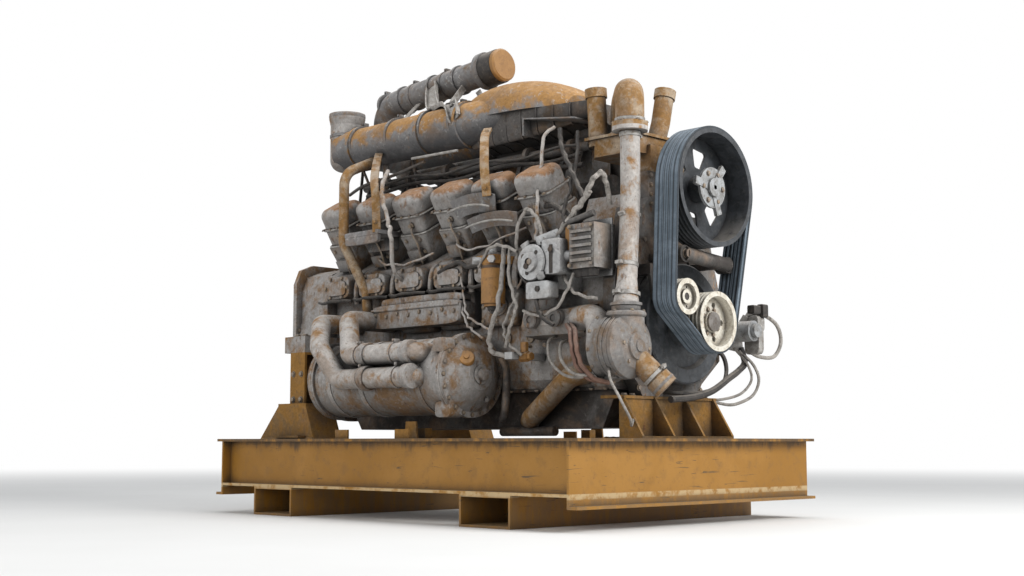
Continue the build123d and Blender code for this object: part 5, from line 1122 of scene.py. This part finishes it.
def weldBead(start, end, radius):
    # a rippled bead, radius * (1 + 0.14 sin(90 s))
    return swept(course([start, end], 60), circle(radius, 6), 1 + 0.14 * np.sin(np.linspace(0, 90, 60)))


def dressSkid(look):
    zinc, welds, cleats = [], [], []
    deck = corners("side_beams")[1][2]
    frontLow, frontHigh = corners("front_support")
    zinc.append(bolts([(frontLow[0] + 0.09, y, frontHigh[2]) for y in look["shelfBolts"]], above, 0.014))
    for side in sides:
        y = side * look["postY"]
        zinc.append(bolts([(x, y + side * 0.06, z) for x in look["postX"] for z in look["postZ"]], (0, side, 0),
                          0.013))
        zinc.append(bolts([(x, y + s * 0.035, 0.97) for x in look["postX"] for s in sides], above, 0.016))
        (rear, front), (inner, outer) = look["padX"], (side * pad for pad in look["padY"])
        z = deck + 0.006
        cleats.append(plate([(rear, inner, z), (front, inner, z), (front, outer, z), (rear, outer, z)], 0.012 * side))
        y = side * look["lugY"]
        for x in look["lugsX"]:
            cleats.append(plate([(x - 0.05, y, deck), (x + 0.05, y, deck), (x + 0.05, y, deck + 0.045),
                                 (x - 0.05, y, deck + 0.045)], 0.01))
        cleats.append(bar((-0.02, side * 0.62, deck + 0.024), (0.045, side * 0.62, deck + 0.024), 0.055, 0.048))
        y = side * 0.7
        cleats.append(plate([(-0.035, y, deck - 0.002), (0.06, y, deck - 0.002), (0.05, y, deck + 0.085),
                             (-0.025, y, deck + 0.085)], 0.01))
    z = deck + 0.002
    for x in (frontLow[0] + 0.004, frontHigh[0] - 0.02):
        welds.append(weldBead((x, -0.35, z), (x, 0.35, z), look["weldRadius"]))
    for side in sides:
        welds += [weldBead((rear, side * y, z), (front, side * y, z), look["weldRadius"])
                  for rear, front, y in look["welds"]]
    piece("supportBolts", zinc, "dullZinc")
    piece("weldBeads", welds, "supportEnamel")
    piece("deckCleats", cleats, "supportEnamel")


dressSkid(skidLook)

# Rear end: flange bolts, cup bands, the cap's collar and the flywheel's face
rearLook = {
    "flangeX": -1.31, "flangeCircle": 0.4255, "boltsX": -1.2, "boltStep": 0.045, "boltsY": 0.25,
    "cup": (-1.1, 0.25), "cupNeckZ": 2.16,
    "cupRim": ((0.0, 0.1055), (0.01, 0.1075), (0.018, 0.1075), (0.026, 0.104)),
    "cupNeck": ((0.0, 0.098), (0.004, 0.101), (0.018, 0.101), (0.022, 0.098)), "capLean": (1.0, 0.0, 0.078),
    "collar": ((-0.128, 0.0962), (-0.034, 0.0962), (-0.03, 0.0945), (-0.03, 0.0915)),
    "capRing": ((-0.15, 0.101), (-0.144, 0.1034), (-0.132, 0.1034), (-0.126, 0.101)),
    "hole": ((-0.004, 0.009), (0.0012, 0.009), (0.0016, 0.006)), "holeRings": ((0.265, 12), (0.215, 6, 0.3)),
    # register, rim and pilot rings of the flywheel: profile and points round
    "rings": ((((-0.004, 0.1175), (0.003, 0.1175), (0.003, 0.11), (-0.004, 0.11)), 56),
              (((-0.004, 0.2935), (0.002, 0.2935), (0.002, 0.29), (-0.004, 0.29)), 72),
              (((-0.004, 0.03), (0.004, 0.03), (0.004, 0.022), (-0.004, 0.02)), 24)),
    "crankBolts": (0.078, 8, 0.2),
}


def dressRear(look):
    top = corners("flywheel_housing")[1][2] - 0.04
    flange = around((look["flangeX"], 0, crank[2]), ahead, look["flangeCircle"], 16, math.pi / 16)
    zinc = [bolts(flange, ahead, 0.011),
            bolts([(look["boltsX"] + look["boltStep"] * k, side * look["boltsY"], top)
                   for k in range(3) for side in sides], above, 0.01)]
    cupX, cupY = look["cup"]
    cupTop = corners("inlet_cups")[1][2]
    pale = []
    for side in sides:
        pale.append(turned(look["cupRim"], (cupX, side * cupY, cupTop - 0.028), above, 48))
        pale.append(turned(look["cupNeck"], (cupX, side * cupY, look["cupNeckZ"]), above, 48))
    # dark rubber collar over the cap's skirt, pale ring on the flange before it
    capHigh = corners("exhaust_cap")[1]
    lean = unit(look["capLean"])
    face = np.array([capHigh[0] - 0.007, 0.0, capHigh[2] - 0.0917])
    pale.append(turned(look["capRing"], face, lean, 48))
    # flywheel: dark discs painted as the shade in tapped holes near its rim, the register ring and the bolts of the
    # crank's flange
    centre = np.array([corners("flywheel")[0][0], 0.0, crank[2]])
    back = np.array([-1.0, 0.0, 0.0])
    spots = np.vstack([around(centre, back, *ring) for ring in look["holeRings"]])
    piece("flywheelHoleShades", [turned(look["hole"], spot, back, 10) for spot in spots], "hoseRubber", "crank")
    piece("flywheelRings", [turned(profile, centre, back, count) for profile, count in look["rings"]]
          + [bolts(around(centre, back, *look["crankBolts"]), back, 0.0115)], "dullZinc", "crank")
    piece("capCollar", [turned(look["collar"], face, lean, 48)], "hoseRubber")
    piece("rearBolts", zinc, "dullZinc")
    piece("cupBands", pale, "exhaustSteel")


dressRear(rearLook)
print("skid and rear dressed")


# a lamp is (place, aim, width, power), and the floor fades into the white sky from one distance to the other
stageLook = {
    "lamps": {"keyLamp": ((6.0, 0.8, 4.4), (0, 0, 1.1), 3.0, 350.0),
              "fillLamp": ((0.5, -7.0, 3.2), (0, 0, 1.0), 4.0, 125.0),
              "topLamp": ((0.0, 0.0, 7.0), (0, 0, 0), 5.0, 200.0)},
    "sky": "#E9EEF4", "skyStrength": 0.52, "floorHalf": 40.0, "floorTones": ("#DEDDDA", "#E6E5E3"), "patch": 900,
    "rough": 0.9, "fade": (3.5, 16.0),
}


def softLamp(name, place, aim, width, power):
    data = bpy.data.lights.new(name, "AREA")
    data.shape = "SQUARE"
    data.size = width
    data.energy = power
    lamp = placed(name, data)
    lamp.location = place
    lamp.rotation_euler = turnedTo(place, aim)


def studio(setup):
    for name, lamp in setup["lamps"].items():
        softLamp(name, *lamp)
    # the camera and mirrored rays see plain white, and the sky's own tone only lights the object
    world = bpy.data.worlds.new("studioWorld")
    world.use_nodes = True
    tree = world.node_tree
    tree.nodes.clear()
    rays = addNode(tree, "LightPath").outputs
    mirrored = sums(tree, "MAXIMUM", rays["Is Glossy Ray"], rays["Is Transmission Ray"])
    shown = sums(tree, "MAXIMUM", rays["Is Camera Ray"], mirrored)
    lit = addNode(tree, "Background", None, {"Color": linear(setup["sky"]), "Strength": setup["skyStrength"]})
    seen = addNode(tree, "Background", None, {"Color": (1, 1, 1, 1), "Strength": 1.0})
    both = addNode(tree, "MixShader", None, {0: shown, 1: lit.outputs[0], 2: seen.outputs[0]})
    addNode(tree, "OutputWorld", None, {"Surface": both.outputs[0]})
    bpy.context.scene.world = world
    mesh = bpy.data.meshes.new("studioFloor")
    mesh.from_pydata((rectangle(2, 2) @ np.eye(2, 3) * setup["floorHalf"]).tolist(), [], [(0, 1, 2, 3)])
    floor = placed("studioFloor", mesh)
    material, tree, coords = blank("paleFloor")
    away = addNode(tree, "VectorMath", {"operation": "LENGTH"}, {0: coords}).outputs["Value"]
    first, second = setup["floorTones"]
    tone = coat(tree, noise(tree, coords, setup["patch"], 3, 0.5), linear(first), second)
    matt = addNode(tree, "BsdfPrincipled", None, {"Base Color": tone, "Roughness": setup["rough"]})
    glow = addNode(tree, "Emission", None, {"Color": (1, 1, 1, 1), "Strength": 1.0})
    faded = addNode(tree, "MixShader", None, {0: ramp(tree, away, *setup["fade"]), 1: matt.outputs[0],
                    2: glow.outputs[0]})
    addNode(tree, "OutputMaterial", None, {"Surface": faded.outputs[0]})
    mesh.materials.append(material)


studio(stageLook)
print("stage and lamps set")
